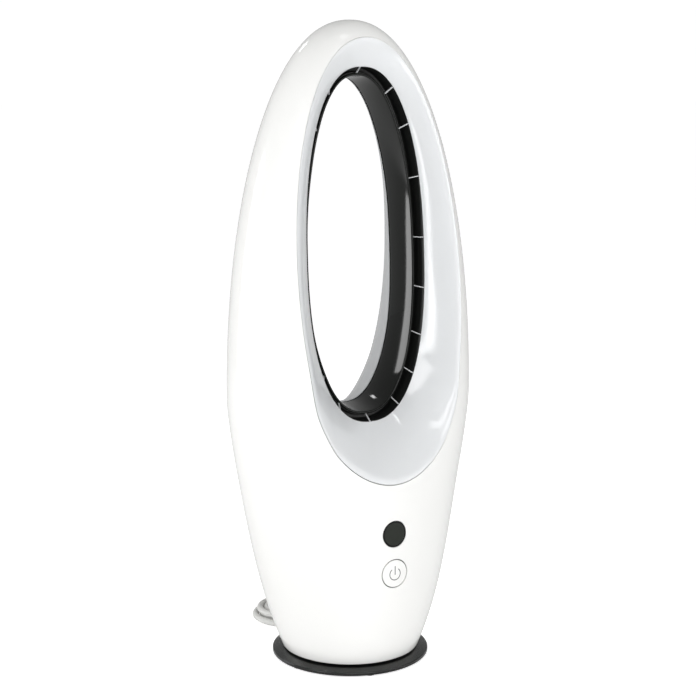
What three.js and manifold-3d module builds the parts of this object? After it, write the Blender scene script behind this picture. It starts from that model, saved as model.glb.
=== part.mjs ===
// A bladeless table fan: an egg-shaped tower with a tall oval hole, an air slot round the hole, and a
// hidden mixed-flow blower in its foot. The tower turns on a flat round base.
//
// Units are millimetres and +Z is up. The origin is on the floor, under the axis that the tower turns
// about. The front of the fan, with the display and the button, faces -Y.
//
// The part that takes the most skill is the ring: one egg formula gives the two shells, and the slot,
// the bezel, the duct and the rear lip are all lofted between its rims and one family of ovals.
import * as THREE from "three";
import { mergeVertices } from "three/addons/utils/BufferGeometryUtils.js";
import Module from "manifold-3d";

const wasm = await Module();
wasm.setup();

// ---------------------------------------------------------------- driving dimensions

// Clearances
const seatGap = 0.3; // between two pieces that touch
const hollowGap = 1.3; // round a piece that fills the faceted hollow of the shells

// The egg-shaped tower
const overallHeight = 600;
const bodyHalfWidth = 121.5;
const bodyHalfDepth = 90;
const widestHeight = 256;
const crownFullness = 2.175; // exponent of the upper half, 2 is an ellipse
const flankLength = 322; // the lower half would close this far under the widest height
const flankFullness = 1.29;
const towerBottom = 10.7;
const ovalFrom = 12; // the section is round here
const ovalTo = 184; // and has its full oval shape from here up
const shellWall = 2.5;
const seamShare = 0.5; // the seam between the shells lies at this share of the half depth, behind the axis

// The leaning rims that open the egg at its front and its back
const rimHeight = 300;
const rimInset = 23.6; // how far a rim lies inside the half depth at that height
const rimLean = THREE.MathUtils.degToRad(7.3);

// The oval hole, the slot round it and the dark duct that lines it
const crownBand = 42; // from the top of the slot to the top of the tower
const slotBottom = 234;
const sideBand = 59; // from the side of the slot to the widest point of the tower
const slotFullness = 2.33;
const slotForward = 30.7; // at the middle of the slot
const slotLean = 0.053;
const slotTaper = 0.047; // the slot is narrower at its top by this share
const slotGap = 8;
const ductForward = 21.5;
const ductBack = 19;
const ductWaist = 1.2; // the duct is this much narrower half way through
const ductWall = 2.2;
const bezelWall = 2.2;
const slotWallDepth = 9;
const ribAngles = [60, 39.5, 19, 1, -12, -28.5, -45.5, -65]; // degrees up the right side of the slot
const ribThickness = 1.2;
const ribDepth = 4;

// The round base and its turntable
const baseRadius = 75.2;
const baseUnderside = 1.2;
const baseEdgeTop = 4.7;
const baseTop = 8.5;
const baseFlatRadius = 60;
const coverRadius = 60;
const coverThickness = 1.6;
const coverRecess = 5; // depth of the hollow under the base
const footCount = 6;
const footRadius = 5.5;
const footCircle = 68;
const footRecess = 0.6;
const footAngle = THREE.MathUtils.degToRad(-15);
const bossRadius = 14;
const bossBore = 8;
const spigotRadius = 11;
const spigotFlat = 9.5; // half the distance between the two flats that hold the gear
const floorUnderside = 12;
const floorThickness = 3;
const sleeveWall = 3.2;
const sleeveHeight = 8;
const slideRingInner = 30;
const slideRingOuter = 44;
const gearModule = 1.25;
const gearTeeth = 36;
const gearThickness = 6;
const pinionTeeth = 12;
const gearBacklash = 0.24;
const gearSpread = 0.15; // added to the exact distance between the two gears
const pinionShaftRadius = 2.3;
const swingMotorRadius = 25;
const swingMotorHeight = 20;

// The blower
const impellerRadius = 50.3;
const impellerBottom = 96;
const impellerTop = 130;
const hubRadius = 32.5;
const bladeCount = 9;
const bladeThickness = 1.6;
const housingGap = 1.7; // between the blade tips and the housing
const housingWall = 2.2;
const housingBottom = 84;
const inletFlare = 10;
const flangeWidth = 4;
const flangeThickness = 2.5;
const partitionThickness = 2;
const guideHeight = 40;
const vaneCount = 7;
const motorRadius = 26;
const motorHeight = 30;
const shaftRadius = 3;
const damperHeight = 4;
const legRadius = 4;
const legAngle = THREE.MathUtils.degToRad(65);

// Controls on the front, by their height above the floor
const displayHeight = 138;
const displayRadius = 13;
const buttonHeight = 99;
const buttonRadius = 12.8;
const buttonGroove = 1;
const buttonTravel = 0.9;
const boardWidth = 40;
const boardThickness = 1.6;
const boardMargin = 15; // of the board above the display and below the button
const boardStandoff = 7.5; // from the inside of the wall to the board

// The air intake at the back
const grilleHalfWidth = 56;
const grilleBottom = 38;
const grilleTop = 112;
const grilleCorner = 12;
const grilleSlotCount = 12;
const grilleSlotWidth = 3.4;
const grilleMargin = 6;

// The mains cord. The hank lies on the floor behind the fan.
const cordDiameter = 6.5;
const exitHeight = 5.2;
const exitAngle = THREE.MathUtils.degToRad(150); // round from the front, towards +X
const reliefLength = 22;
const reliefRootRadius = 5;
const reliefTipRadius = 4;
const humpWidth = 17;
const humpTop = 9.6;
const humpReach = 3.8; // past the edge of the base
const hankStart = new THREE.Vector2(-9, 112.4); // middle of the fold that the photograph shows
const hankAngle = THREE.MathUtils.degToRad(25);
const hankRun = 97.5;
const hankPitch = 7.2;
const hankFold = 19.5; // radius of the tightest fold
const hankTurns = 4.153;
const hankReverse = 2.375; // the turn at which the spiral reverses and climbs
const hankWaist = 8; // how far the runs are drawn in at the tie
const hankStepsPerTurn = 24;
const tieWidth = 9;
const tieThickness = 0.9;
const plugTail = 24;
const plugLength = 35;
const plugWidth = 35;
const plugThickness = 13.7;
const pinLength = 19;
const pinRadius = 2;
const pinSpacing = 19;

// ---------------------------------------------------------------- materials

const finish = (color, roughness, metalness = 0) =>
  new THREE.MeshStandardMaterial({ color, roughness, metalness });
const glossWhite = finish(0xf4f4f2, 0.12);
const glossGrey = finish(0xe0e3e5, 0.14);
const glossBlack = finish(0x2b2d2b, 0.15);
const windowBlack = finish(0x0c0d0e, 0.05);
const satinGrey = finish(0x4c4d4e, 0.45);
const mouldedBlack = finish(0x232425, 0.6);
const rubber = finish(0x1b1b1b, 0.85);
const acetal = finish(0xe9e7df, 0.4);
const whiteMoulding = finish(0xe6e6e2, 0.5);
const steel = finish(0x9a9da0, 0.35, 0.9);
const brass = finish(0xc9b06a, 0.3, 0.9);
const boardGreen = finish(0x1f4a33, 0.55);
const cordWhite = finish(0xe9e9e6, 0.5);

// ---------------------------------------------------------------- solids from geometry

// A closed geometry as a manifold-3d solid. A geometry whose faces point inwards is turned round.
function solid(geometry) {
  const bare = geometry.clone();
  for (const name of Object.keys(bare.attributes)) {
    if (name !== "position") bare.deleteAttribute(name);
  }
  const merged = mergeVertices(bare, 1e-4);
  const corners = merged.index.array;
  const faces = [];
  for (let i = 0; i < corners.length; i += 3) {
    const [a, b, c] = [corners[i], corners[i + 1], corners[i + 2]];
    if (a !== b && b !== c && c !== a) faces.push([a, b, c]);
  }
  const make = (list) =>
    new wasm.Manifold(
      new wasm.Mesh({
        numProp: 3,
        vertProperties: new Float32Array(merged.attributes.position.array),
        triVerts: new Uint32Array(list.flat()),
      }),
    );
  const made = make(faces);
  return made.volume() > 0 ? made : make(faces.map(([a, b, c]) => [a, c, b]));
}

function geometryOf(body) {
  const data = body.getMesh();
  const positions = new Float32Array(data.numVert * 3);
  for (let i = 0; i < data.numVert; i++) {
    positions.set(data.vertProperties.subarray(i * data.numProp, i * data.numProp + 3), i * 3);
  }
  const geometry = new THREE.BufferGeometry();
  geometry.setAttribute("position", new THREE.BufferAttribute(positions, 3));
  geometry.setIndex(new THREE.BufferAttribute(new Uint32Array(data.triVerts), 1));
  geometry.computeVertexNormals();
  return geometry;
}

const join = (...bodies) => bodies.reduce((all, body) => all.add(body));
const cut = (body, ...tools) => tools.reduce((left, tool) => left.subtract(tool), body);

function piece(name, body, material) {
  const mesh = new THREE.Mesh(geometryOf(body), material);
  mesh.name = name;
  return mesh;
}

// ---------------------------------------------------------------- shapes used more than once

// A turned solid from [radius, height] pairs, about +Z. A profile off the axis is closed on itself.
function turned(profile, segments = 48) {
  const points = profile.map(([r, z]) => new THREE.Vector2(r, z));
  const first = points[0];
  const last = points[points.length - 1];
  if (first.x > 0 || last.x > 0) points.push(first.clone());
  return solid(new THREE.LatheGeometry(points, segments).rotateX(Math.PI / 2));
}

// A round bar along Z, or along Y for a piece that goes through the front wall.
function barZ(radius, bottom, top, x = 0, y = 0, segments = 24) {
  const bar = new THREE.CylinderGeometry(radius, radius, top - bottom, segments);
  return solid(bar.rotateX(Math.PI / 2).translate(x, y, (bottom + top) / 2));
}

function barY(radius, from, to, x, z, segments = 28) {
  const bar = new THREE.CylinderGeometry(radius, radius, Math.abs(to - from), segments);
  return solid(bar.translate(x, (from + to) / 2, z));
}

function block(low, high) {
  const size = high.map((value, i) => value - low[i]);
  const box = new THREE.BoxGeometry(...size);
  return solid(box.translate(...low.map((value, i) => value + size[i] / 2)));
}

// A shape drawn in XY, made a plate from one height to another.
function plate(shape, bottom, top, curveSegments = 12) {
  const made = new THREE.ExtrudeGeometry(shape, {
    depth: top - bottom,
    bevelEnabled: false,
    curveSegments,
  });
  return solid(made.translate(0, 0, bottom));
}

function roundedRectangle(left, bottom, right, top, corner) {
  const shape = new THREE.Shape();
  shape.moveTo(left + corner, bottom);
  shape.lineTo(right - corner, bottom);
  shape.absarc(right - corner, bottom + corner, corner, -Math.PI / 2, 0, false);
  shape.lineTo(right, top - corner);
  shape.absarc(right - corner, top - corner, corner, 0, Math.PI / 2, false);
  shape.lineTo(left + corner, top);
  shape.absarc(left + corner, top - corner, corner, Math.PI / 2, Math.PI, false);
  shape.lineTo(left, bottom + corner);
  shape.absarc(left + corner, bottom + corner, corner, Math.PI, 1.5 * Math.PI, false);
  return shape;
}

// A solid skinned over rows of points. Each row is a closed ring. The rows are capped at both ends, or
// the last row is joined to the first.
function skinned(rows, { endless = false } = {}) {
  const count = rows[0].length;
  const points = rows.flat();
  const faces = [];
  const at = (row, i) => (row % rows.length) * count + (i % count);
  const last = endless ? rows.length : rows.length - 1;
  for (let row = 0; row < last; row++) {
    for (let i = 0; i < count; i++) {
      faces.push(at(row, i), at(row, i + 1), at(row + 1, i + 1));
      faces.push(at(row, i), at(row + 1, i + 1), at(row + 1, i));
    }
  }
  if (!endless) {
    for (const [row, turn] of [[0, 1], [rows.length - 1, 0]]) {
      const middle = rows[row].reduce((sum, p) => sum.add(p), new THREE.Vector3());
      points.push(middle.divideScalar(count));
      for (let i = 0; i < count; i++) {
        const pair = turn ? [at(row, i + 1), at(row, i)] : [at(row, i), at(row, i + 1)];
        faces.push(points.length - 1, ...pair);
      }
    }
  }
  const geometry = new THREE.BufferGeometry().setFromPoints(points);
  geometry.setIndex(faces);
  return solid(geometry);
}

const lerp = THREE.MathUtils.lerp;
const smooth = (value, from, to) => THREE.MathUtils.smoothstep(value, from, to);
const range = (count) => Array.from({ length: count }, (_, i) => i);
const turnedBy = (angle, radius) => [Math.sin(angle) * radius, -Math.cos(angle) * radius];

// ---------------------------------------------------------------- the egg

// Half the width of the egg at a height, for the egg itself or for one that lies a wall inside it.
function halfWidth(z, inset = 0) {
  if (z >= widestHeight) {
    const rise = Math.min(1, (z - widestHeight) / (overallHeight - inset - widestHeight));
    return (bodyHalfWidth - inset) * (1 - rise ** 2) ** (1 / crownFullness);
  }
  const drop = (widestHeight - z) / flankLength;
  return bodyHalfWidth * Math.sqrt(1 - drop ** flankFullness) - inset;
}

// Half its depth: the section is round at the foot and oval higher up.
function halfDepth(z, inset = 0) {
  const ovalShare = bodyHalfDepth / bodyHalfWidth;
  if (z >= widestHeight) {
    return (halfWidth(z, inset) * (bodyHalfDepth - inset)) / (bodyHalfWidth - inset);
  }
  return halfWidth(z) * lerp(1, ovalShare, smooth(z, ovalFrom, ovalTo)) - inset;
}

// How finely the egg is faceted. The hollow inside the shells is coarser than their outside.
const outsideFacets = { round: 36, flank: 8, crown: 10 };
const insideFacets = { round: 32, flank: 7, crown: 8 };

function ringHeights(inset, facets) {
  const crown = overallHeight - inset - widestHeight;
  const flank = range(facets.flank).map((i) => lerp(towerBottom, widestHeight, i / facets.flank));
  const top = range(facets.crown).map((i) => Math.sin(((i / facets.crown) * Math.PI) / 2));
  return [...flank, ...top.map((share) => widestHeight + crown * share)];
}

// The egg as a full solid, from the foot of the tower to its crown.
function egg(inset = 0, facets = outsideFacets) {
  const rows = ringHeights(inset, facets).map((z) =>
    range(facets.round).map((i) => {
      const angle = (i / facets.round) * 2 * Math.PI;
      return new THREE.Vector3(
        halfWidth(z, inset) * Math.cos(angle),
        halfDepth(z, inset) * Math.sin(angle),
        z,
      );
    }),
  );
  const pole = new THREE.Vector3(0, 0, overallHeight - inset);
  rows.push(range(facets.round).map(() => pole.clone()));
  return skinned(rows);
}

// The forward reach of the rim's plane at a height; the back rim is its mirror image.
const rimReach = (z) => bodyHalfDepth - rimInset - (z - rimHeight) * Math.tan(rimLean);

// Everything in front of the front rim, or behind the back rim.
function pastRim(side) {
  const far = 4 * bodyHalfWidth;
  const slab = new THREE.BoxGeometry(far, far, 4 * overallHeight).translate(0, (side * far) / 2, 0);
  return solid(slab.rotateX(side * rimLean).translate(0, side * rimReach(rimHeight), rimHeight));
}

// Everything behind the seam, moved by a shift along Y.
function behindSeam(shift) {
  const heights = [0, ...ringHeights(0, outsideFacets), overallHeight, overallHeight * 1.2];
  const seam = new THREE.Shape(
    heights.map((z) => new THREE.Vector2(seamShare * halfDepth(Math.max(z, towerBottom)) + shift, z)),
  );
  const far = 3 * bodyHalfDepth;
  seam.lineTo(far, overallHeight * 1.2);
  seam.lineTo(far, 0);
  const made = new THREE.ExtrudeGeometry(seam, { depth: 4 * bodyHalfWidth, bevelEnabled: false });
  // The shape's X is the row's Y and its Y is the row's Z.
  made.applyMatrix4(new THREE.Matrix4().makeBasis(
    new THREE.Vector3(0, 1, 0),
    new THREE.Vector3(0, 0, 1),
    new THREE.Vector3(1, 0, 0),
  ));
  return solid(made.translate(-2 * bodyHalfWidth, 0, 0));
}

// ---------------------------------------------------------------- the oval loops of the ring

const slotTop = overallHeight - crownBand;
const slotMiddle = (slotTop + slotBottom) / 2;
const slotHalfHeight = (slotTop - slotBottom) / 2;
const slotHalfWidth = bodyHalfWidth - sideBand;
const loopSegments = 40;

// A point of an oval loop that lies this far inside the slot's outer edge, at a forward reach.
function ovalPoint(angle, inset, forward) {
  const power = (value) => Math.sign(value) * Math.abs(value) ** (2 / slotFullness);
  const up = Math.sin(angle);
  const x = (slotHalfWidth - inset) * power(Math.cos(angle)) * (1 - slotTaper * up);
  const z = slotMiddle + (slotHalfHeight - inset) * power(up);
  return new THREE.Vector3(x, -(forward - slotLean * (z - slotMiddle)), z);
}

// The point of a rim in the same direction, on the egg that lies an inset inside the outer one.
function rimPoint(angle, inset, side) {
  const way = [Math.cos(angle) * slotHalfWidth, Math.sin(angle) * slotHalfHeight];
  let [near, far] = [0, 4];
  for (let i = 0; i < 40; i++) {
    const share = (near + far) / 2;
    const [x, z] = [way[0] * share, slotMiddle + way[1] * share];
    const wide = z < overallHeight - inset ? halfWidth(z, inset) : 0;
    const deep = z < overallHeight - inset ? halfDepth(z, inset) : 0;
    const inside = wide > 0 && (x / wide) ** 2 + (rimReach(z) / deep) ** 2 < 1;
    if (inside) near = share;
    else far = share;
  }
  const z = slotMiddle + way[1] * near;
  return new THREE.Vector3(way[0] * near, side * rimReach(z), z);
}

// A curved skin between an inner loop and an outer loop, with a wall behind it. The bend is a curve
// from (0, 0) to (1, 1): its X is the way across, and its Y is the way out from loop to loop. The wall
// loops close the section from the back of the skin to its inner edge.
function funnel(innerLoop, outerLoop, bend, wall, steps, wallLoops = []) {
  const surface = (angle, v) => {
    const share = bend.getPoint(v);
    const [a, b] = [innerLoop(angle), outerLoop(angle)];
    return new THREE.Vector3(lerp(a.x, b.x, share.x), lerp(a.y, b.y, share.y), lerp(a.z, b.z, share.x));
  };
  const small = 1e-3;
  const rows = range(loopSegments).map((i) => {
    const angle = (i / loopSegments) * 2 * Math.PI;
    const outside = range(steps + 1).map((j) => surface(angle, j / steps));
    const inside = outside.map((point, j) => {
      const v = Math.min(Math.max(j / steps, small), 1 - small);
      const along = surface(angle + small, v).sub(surface(angle - small, v));
      const across = surface(angle, v + small).sub(surface(angle, v - small));
      const normal = along.cross(across).normalize();
      // The wall lies on the side of the egg's hollow, away from the hole.
      const outward = new THREE.Vector3(point.x, 0, point.z - slotMiddle);
      const middle = surface(angle, 0.5);
      const turn = normal.dot(outward.setY(-Math.sign(middle.y) * outward.length())) > 0 ? 1 : -1;
      return point.clone().addScaledVector(normal, turn * wall);
    });
    const back = wallLoops.map((loop) => loop(angle));
    return [...outside, ...inside.reverse(), ...back];
  });
  return skinned(rows, { endless: true });
}

// ---------------------------------------------------------------- shells

const wallSolid = cut(egg(), egg(shellWall, insideFacets));
const openWall = cut(wallSolid, pastRim(-1), pastRim(1));

function frontShell() {
  const half = cut(openWall, behindSeam(-seatGap / 2));
  const wallInside = (z) => halfDepth(z, shellWall);
  const boardBosses = [-1, 1].flatMap((side) =>
    [boardBottom + 4, boardTop - 4].map((z) =>
      barY(2.8, -(boardFront + seatGap), -(wallInside(z) + 0.4), side * (boardWidth / 2 - 4), z, 8),
    ),
  );
  const displayHole = barY(displayRadius + seatGap, 0, -2 * bodyHalfDepth, 0, displayHeight);
  const buttonHole = barY(buttonRadius + buttonGroove, 0, -2 * bodyHalfDepth, 0, buttonHeight);
  return cut(join(half, ...boardBosses), displayHole, buttonHole);
}

// The back bezel rolls from the duct's back edge out to the back rim.
function rearBezel() {
  const inner = (angle) => ovalPoint(angle, slotGap, -(ductBack + seatGap));
  const outer = (angle) => rimPoint(angle, shellWall / 2, 1);
  const bend = new THREE.CubicBezierCurve(
    new THREE.Vector2(0, 0),
    new THREE.Vector2(0, 0.3),
    new THREE.Vector2(0.4, 0.95),
    new THREE.Vector2(1, 1),
  );
  const ductRoom = ovalRing(slotGap + 3, slotGap - 3, -(ductBack + seatGap), ductForward);
  const skin = funnel(inner, outer, bend, bezelWall, 4);
  return cut(skin.intersect(egg(shellWall + seatGap, insideFacets)), pastRim(1), ductRoom);
}

function grilleOpening(gap) {
  const outline = roundedRectangle(
    -grilleHalfWidth - gap,
    grilleBottom - gap,
    grilleHalfWidth + gap,
    grilleTop + gap,
    grilleCorner + gap,
  );
  const made = new THREE.ExtrudeGeometry(outline, {
    depth: 2 * bodyHalfDepth,
    bevelEnabled: false,
    curveSegments: 4,
  });
  // The outline's Y is the row's Z, and the prism runs back from the axis.
  return solid(made.rotateX(Math.PI / 2).scale(1, -1, 1));
}

function rearShell() {
  const half = openWall.intersect(behindSeam(seatGap / 2));
  return cut(half, grilleOpening(seatGap));
}

function intakeGrille() {
  const panel = wallSolid.intersect(grilleOpening(0));
  const pitch = (2 * (grilleHalfWidth - grilleMargin)) / (grilleSlotCount - 0.5);
  const slots = range(grilleSlotCount).map((i) => {
    const x = (i - (grilleSlotCount - 1) / 2) * pitch;
    const shorter = Math.abs(x) > grilleHalfWidth - grilleCorner ? grilleCorner / 2 : 0;
    return block(
      [x - grilleSlotWidth / 2, 0, grilleBottom + grilleMargin + shorter],
      [x + grilleSlotWidth / 2, 2 * bodyHalfDepth, grilleTop - grilleMargin - shorter],
    );
  });
  return cut(panel, ...slots);
}

// ---------------------------------------------------------------- the ring round the hole

// A ring with straight walls that follows the oval, between two insets and two forward reaches.
function ovalRing(inside, outside, back, front) {
  const rows = range(loopSegments).map((i) => {
    const angle = (i / loopSegments) * 2 * Math.PI;
    return [
      ovalPoint(angle, inside, front),
      ovalPoint(angle, inside, back),
      ovalPoint(angle, outside, back),
      ovalPoint(angle, outside, front),
    ];
  });
  return skinned(rows, { endless: true });
}

// The bezel runs from the slot's outer edge to the front rim, where it fills the shell's hollow. A short
// wall goes back from the slot's edge, and thin ribs reach from it across the slot to the duct.
function frontBezel() {
  const inner = (angle) => ovalPoint(angle, 0, slotForward);
  const outer = (angle) => rimPoint(angle, shellWall / 2, -1);
  const bend = new THREE.CubicBezierCurve(
    new THREE.Vector2(0, 0),
    new THREE.Vector2(0.06, 0.42),
    new THREE.Vector2(0.55, 0.9),
    new THREE.Vector2(1, 1),
  );
  const wallBack = slotForward - bezelWall - slotWallDepth;
  const skin = funnel(inner, outer, bend, bezelWall, 4, [
    (angle) => ovalPoint(angle, -bezelWall, wallBack),
    (angle) => ovalPoint(angle, 0, wallBack),
  ]);
  const bothSides = ribAngles.flatMap((angle) => [angle, 180 - angle]);
  const ribs = [90, ...bothSides, -90].map(THREE.MathUtils.degToRad).map((angle) => {
    const from = ovalPoint(angle, -bezelWall * 0.6, slotForward - bezelWall);
    const to = ovalPoint(angle, slotGap - ductWall - seatGap, slotForward - bezelWall);
    const rib = new THREE.BoxGeometry(from.distanceTo(to), ribDepth, ribThickness);
    const turn = Math.atan2(to.z - from.z, to.x - from.x);
    const middle = from.clone().add(to).divideScalar(2);
    rib.rotateY(-turn).translate(middle.x, middle.y + ribDepth / 2, middle.z);
    return solid(rib);
  });
  return join(cut(skin.intersect(egg(shellWall + seatGap, insideFacets)), pastRim(-1)), ...ribs);
}

// The dark duct: a ring with a slight waist and a rounded front edge.
function innerDuct() {
  const stations = [
    [0, 0],
    [0.25, 0.75],
    [0.5, 1],
    [0.75, 0.75],
    [1, 0],
  ];
  const rows = range(loopSegments).map((i) => {
    const angle = (i / loopSegments) * 2 * Math.PI;
    const reach = (share) => lerp(ductForward, -ductBack, share);
    const inside = stations.map(([share, waist]) =>
      ovalPoint(angle, slotGap + waist * ductWaist, reach(share)),
    );
    const outside = [
      ovalPoint(angle, slotGap - ductWall, -ductBack),
      ovalPoint(angle, slotGap - ductWall, ductForward - ductWall / 2),
      ovalPoint(angle, slotGap - ductWall / 2, ductForward + ductWall / 4),
    ];
    return [...inside, ...outside];
  });
  return skinned(rows, { endless: true });
}

// ---------------------------------------------------------------- base and turntable

const bossTop = floorUnderside + sleeveHeight + 0.4;
const gearBottom = bossTop + seatGap;
const gearTop = gearBottom + gearThickness;
const recessTop = baseUnderside + coverRecess;
const exitWay = new THREE.Vector2(...turnedBy(exitAngle, 1));

// A solid made along +X at the exit's height is turned to run out along the cord's way.
function alongExit(body) {
  const geometry = geometryOf(body).rotateZ(exitAngle - Math.PI / 2);
  return solid(geometry);
}

function twoFlats(body, half) {
  const far = 3 * baseRadius;
  const sides = [-1, 1].map((side) =>
    block([side > 0 ? half : -far, -far, bossTop], [side > 0 ? far : -half, far, 2 * bossTop]),
  );
  return cut(body, ...sides);
}

function baseDisc() {
  const disc = turned(
    [
      [bossBore, recessTop],
      [bossBore, gearTop],
      [spigotRadius, gearTop],
      [spigotRadius, bossTop],
      [bossRadius, bossTop],
      [bossRadius, baseTop],
      [baseFlatRadius, baseTop],
      [baseRadius - 0.6, baseEdgeTop],
      [baseRadius, baseEdgeTop - 0.6],
      [baseRadius, baseUnderside],
      [coverRadius + seatGap, baseUnderside],
      [coverRadius + seatGap, recessTop],
    ],
    32,
  );
  const footHoles = range(footCount).map((i) => {
    const [x, y] = footPlace(i);
    const top = baseUnderside + footRecess;
    return barZ(footRadius + seatGap, baseUnderside - 1, top, x, y, 10);
  });
  const humpProfile = roundedRectangle(
    -humpWidth / 2,
    baseUnderside,
    humpWidth / 2,
    humpTop,
    2.5,
  );
  const humpLength = baseRadius + humpReach - coverRadius;
  const hump = new THREE.ExtrudeGeometry(humpProfile, {
    depth: humpLength,
    bevelEnabled: false,
    curveSegments: 3,
  });
  // The profile's X goes across the cord's way, and the hump runs out along it.
  hump.applyMatrix4(new THREE.Matrix4().makeBasis(
    new THREE.Vector3(0, 1, 0),
    new THREE.Vector3(0, 0, 1),
    new THREE.Vector3(1, 0, 0),
  ));
  const humpBody = alongExit(solid(hump.translate(coverRadius + 1, 0, 0)));
  const exitBore = alongExit(barX(neckRadius + seatGap, coverRadius - 6, baseRadius + 9, exitHeight));
  return cut(join(twoFlats(disc, spigotFlat), humpBody), ...footHoles, exitBore);
}

function barX(radius, from, to, z, segments = 16) {
  const bar = new THREE.CylinderGeometry(radius, radius, to - from, segments);
  return solid(bar.rotateZ(Math.PI / 2).translate((from + to) / 2, 0, z));
}

function footPlace(i) {
  return turnedBy(footAngle + (i / footCount) * 2 * Math.PI, footCircle);
}

function foot(i) {
  const [x, y] = footPlace(i);
  const top = baseUnderside + footRecess - seatGap;
  const body = turned([[0, 0], [footRadius - 0.5, 0], [footRadius, 0.5], [footRadius, top], [0, top]], 10);
  return solid(geometryOf(body).translate(x, y, 0));
}

function baseCover() {
  const top = baseUnderside + coverThickness;
  return turned([[0, baseUnderside], [coverRadius, baseUnderside], [coverRadius, top], [0, top]], 36);
}

// The steel ballast has a slot for the wires that come in from the cord.
function baseWeight() {
  const bottom = baseUnderside + coverThickness + seatGap;
  const top = recessTop - seatGap;
  const [inner, outer] = [18, 56];
  const ring = turned([[inner, bottom], [outer, bottom], [outer, top], [inner, top]], 32);
  return cut(ring, alongExit(block([0, -5, 0], [baseRadius, 5, 2 * baseTop])));
}

function slideRing() {
  const [bottom, top] = [baseTop + seatGap, floorUnderside - seatGap];
  return turned(
    [[slideRingInner, bottom], [slideRingOuter, bottom], [slideRingOuter, top], [slideRingInner, top]],
    24,
  );
}

// A spur gear's outline with straight-sided teeth of 20 degrees pressure angle.
function gearShape(teeth, toothFirst) {
  const pitchRadius = (gearModule * teeth) / 2;
  const half = (Math.PI * gearModule) / 4 - gearBacklash / 2;
  const [tip, root] = [0.9 * gearModule, 1.2 * gearModule];
  const slope = Math.tan(THREE.MathUtils.degToRad(20));
  const corners = [
    [-root, half + root * slope],
    [tip, half - tip * slope],
  ];
  const points = [];
  for (let i = 0; i < teeth; i++) {
    const middle = ((i + (toothFirst ? 0 : 0.5)) / teeth) * 2 * Math.PI;
    const place = ([height, thick], side) => {
      const radius = pitchRadius + height;
      const angle = middle + (side * thick) / radius;
      points.push(new THREE.Vector2(radius * Math.sin(angle), -radius * Math.cos(angle)));
    };
    corners.forEach((corner) => place(corner, -1));
    [...corners].reverse().forEach((corner) => place(corner, 1));
  }
  return new THREE.Shape(points);
}

function turntableGear() {
  const wheel = plate(gearShape(gearTeeth, true), gearBottom, gearTop);
  const bore = twoFlats(barZ(spigotRadius + seatGap, gearBottom - 1, gearTop + 1, 0, 0, 32), spigotFlat + seatGap);
  return cut(wheel, bore);
}

const gearDistance = (gearModule * (gearTeeth + pinionTeeth)) / 2 + gearSpread;
const swingMotorBottom = gearTop + 2.8;
const pinionShaftTop = swingMotorBottom + 6;

function drivePinion() {
  const wheel = plate(gearShape(pinionTeeth, pinionTeeth % 2 === 1), gearBottom, gearTop);
  const shaft = barZ(pinionShaftRadius, gearBottom, pinionShaftTop, 0, 0, 12);
  return solid(geometryOf(join(wheel, shaft)).translate(0, -gearDistance, 0));
}

const earReach = swingMotorRadius + 5;
const earRadius = 4.5;

function oscillationMotor() {
  const top = swingMotorBottom + swingMotorHeight;
  const can = turned(
    [
      [0, swingMotorBottom],
      [swingMotorRadius, swingMotorBottom],
      [swingMotorRadius, top - 1.5],
      [swingMotorRadius - 1.5, top],
      [0, top],
    ],
    28,
  );
  const ears = [-1, 1].map((side) =>
    join(
      barZ(earRadius, swingMotorBottom, swingMotorBottom + 1.2, side * earReach, 0, 16),
      block(
        [Math.min(0, side * earReach), -earRadius, swingMotorBottom],
        [Math.max(0, side * earReach), earRadius, swingMotorBottom + 1.2],
      ),
    ),
  );
  const bore = barZ(pinionShaftRadius + seatGap, swingMotorBottom - 1, pinionShaftTop + seatGap, 0, 0, 12);
  return solid(geometryOf(cut(join(can, ...ears), bore)).translate(0, -gearDistance, 0));
}

// ---------------------------------------------------------------- tower floor

const floorTop = floorUnderside + floorThickness;
const powerBoardBottom = floorTop + 7;
const powerBoardY = [28, 54];
const powerBoardHalf = 28;

function towerFloor() {
  const rim = halfWidth(floorUnderside, shellWall) - hollowGap;
  const bore = bossRadius + seatGap;
  const sleeve = bore + sleeveWall;
  const body = turned(
    [
      [bore, floorUnderside],
      [rim, floorUnderside],
      [rim, floorTop],
      [sleeve, floorTop],
      [sleeve, floorUnderside + sleeveHeight],
      [bore, floorUnderside + sleeveHeight],
    ],
    36,
  );
  const motorPosts = [-1, 1].map((side) =>
    barZ(3.2, floorTop - 1, swingMotorBottom - seatGap, side * earReach, -gearDistance, 8),
  );
  const boardPosts = [-1, 1].map((side) =>
    barZ(2.5, floorTop - 1, powerBoardBottom - seatGap, side * (powerBoardHalf - 6), 41, 8),
  );
  return join(body, ...motorPosts, ...boardPosts);
}

// ---------------------------------------------------------------- blower

const housingRadius = impellerRadius + housingGap;
const housingOuter = housingRadius + housingWall;
const flangeRadius = housingOuter + flangeWidth;
const housingTop = impellerTop + 4;
const partitionBottom = housingTop + seatGap;
const guideBottom = partitionBottom + partitionThickness + seatGap;
const guideTop = guideBottom + guideHeight;
const cupInner = motorRadius + 4;
const cupOuter = cupInner + 2.2;

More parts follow.
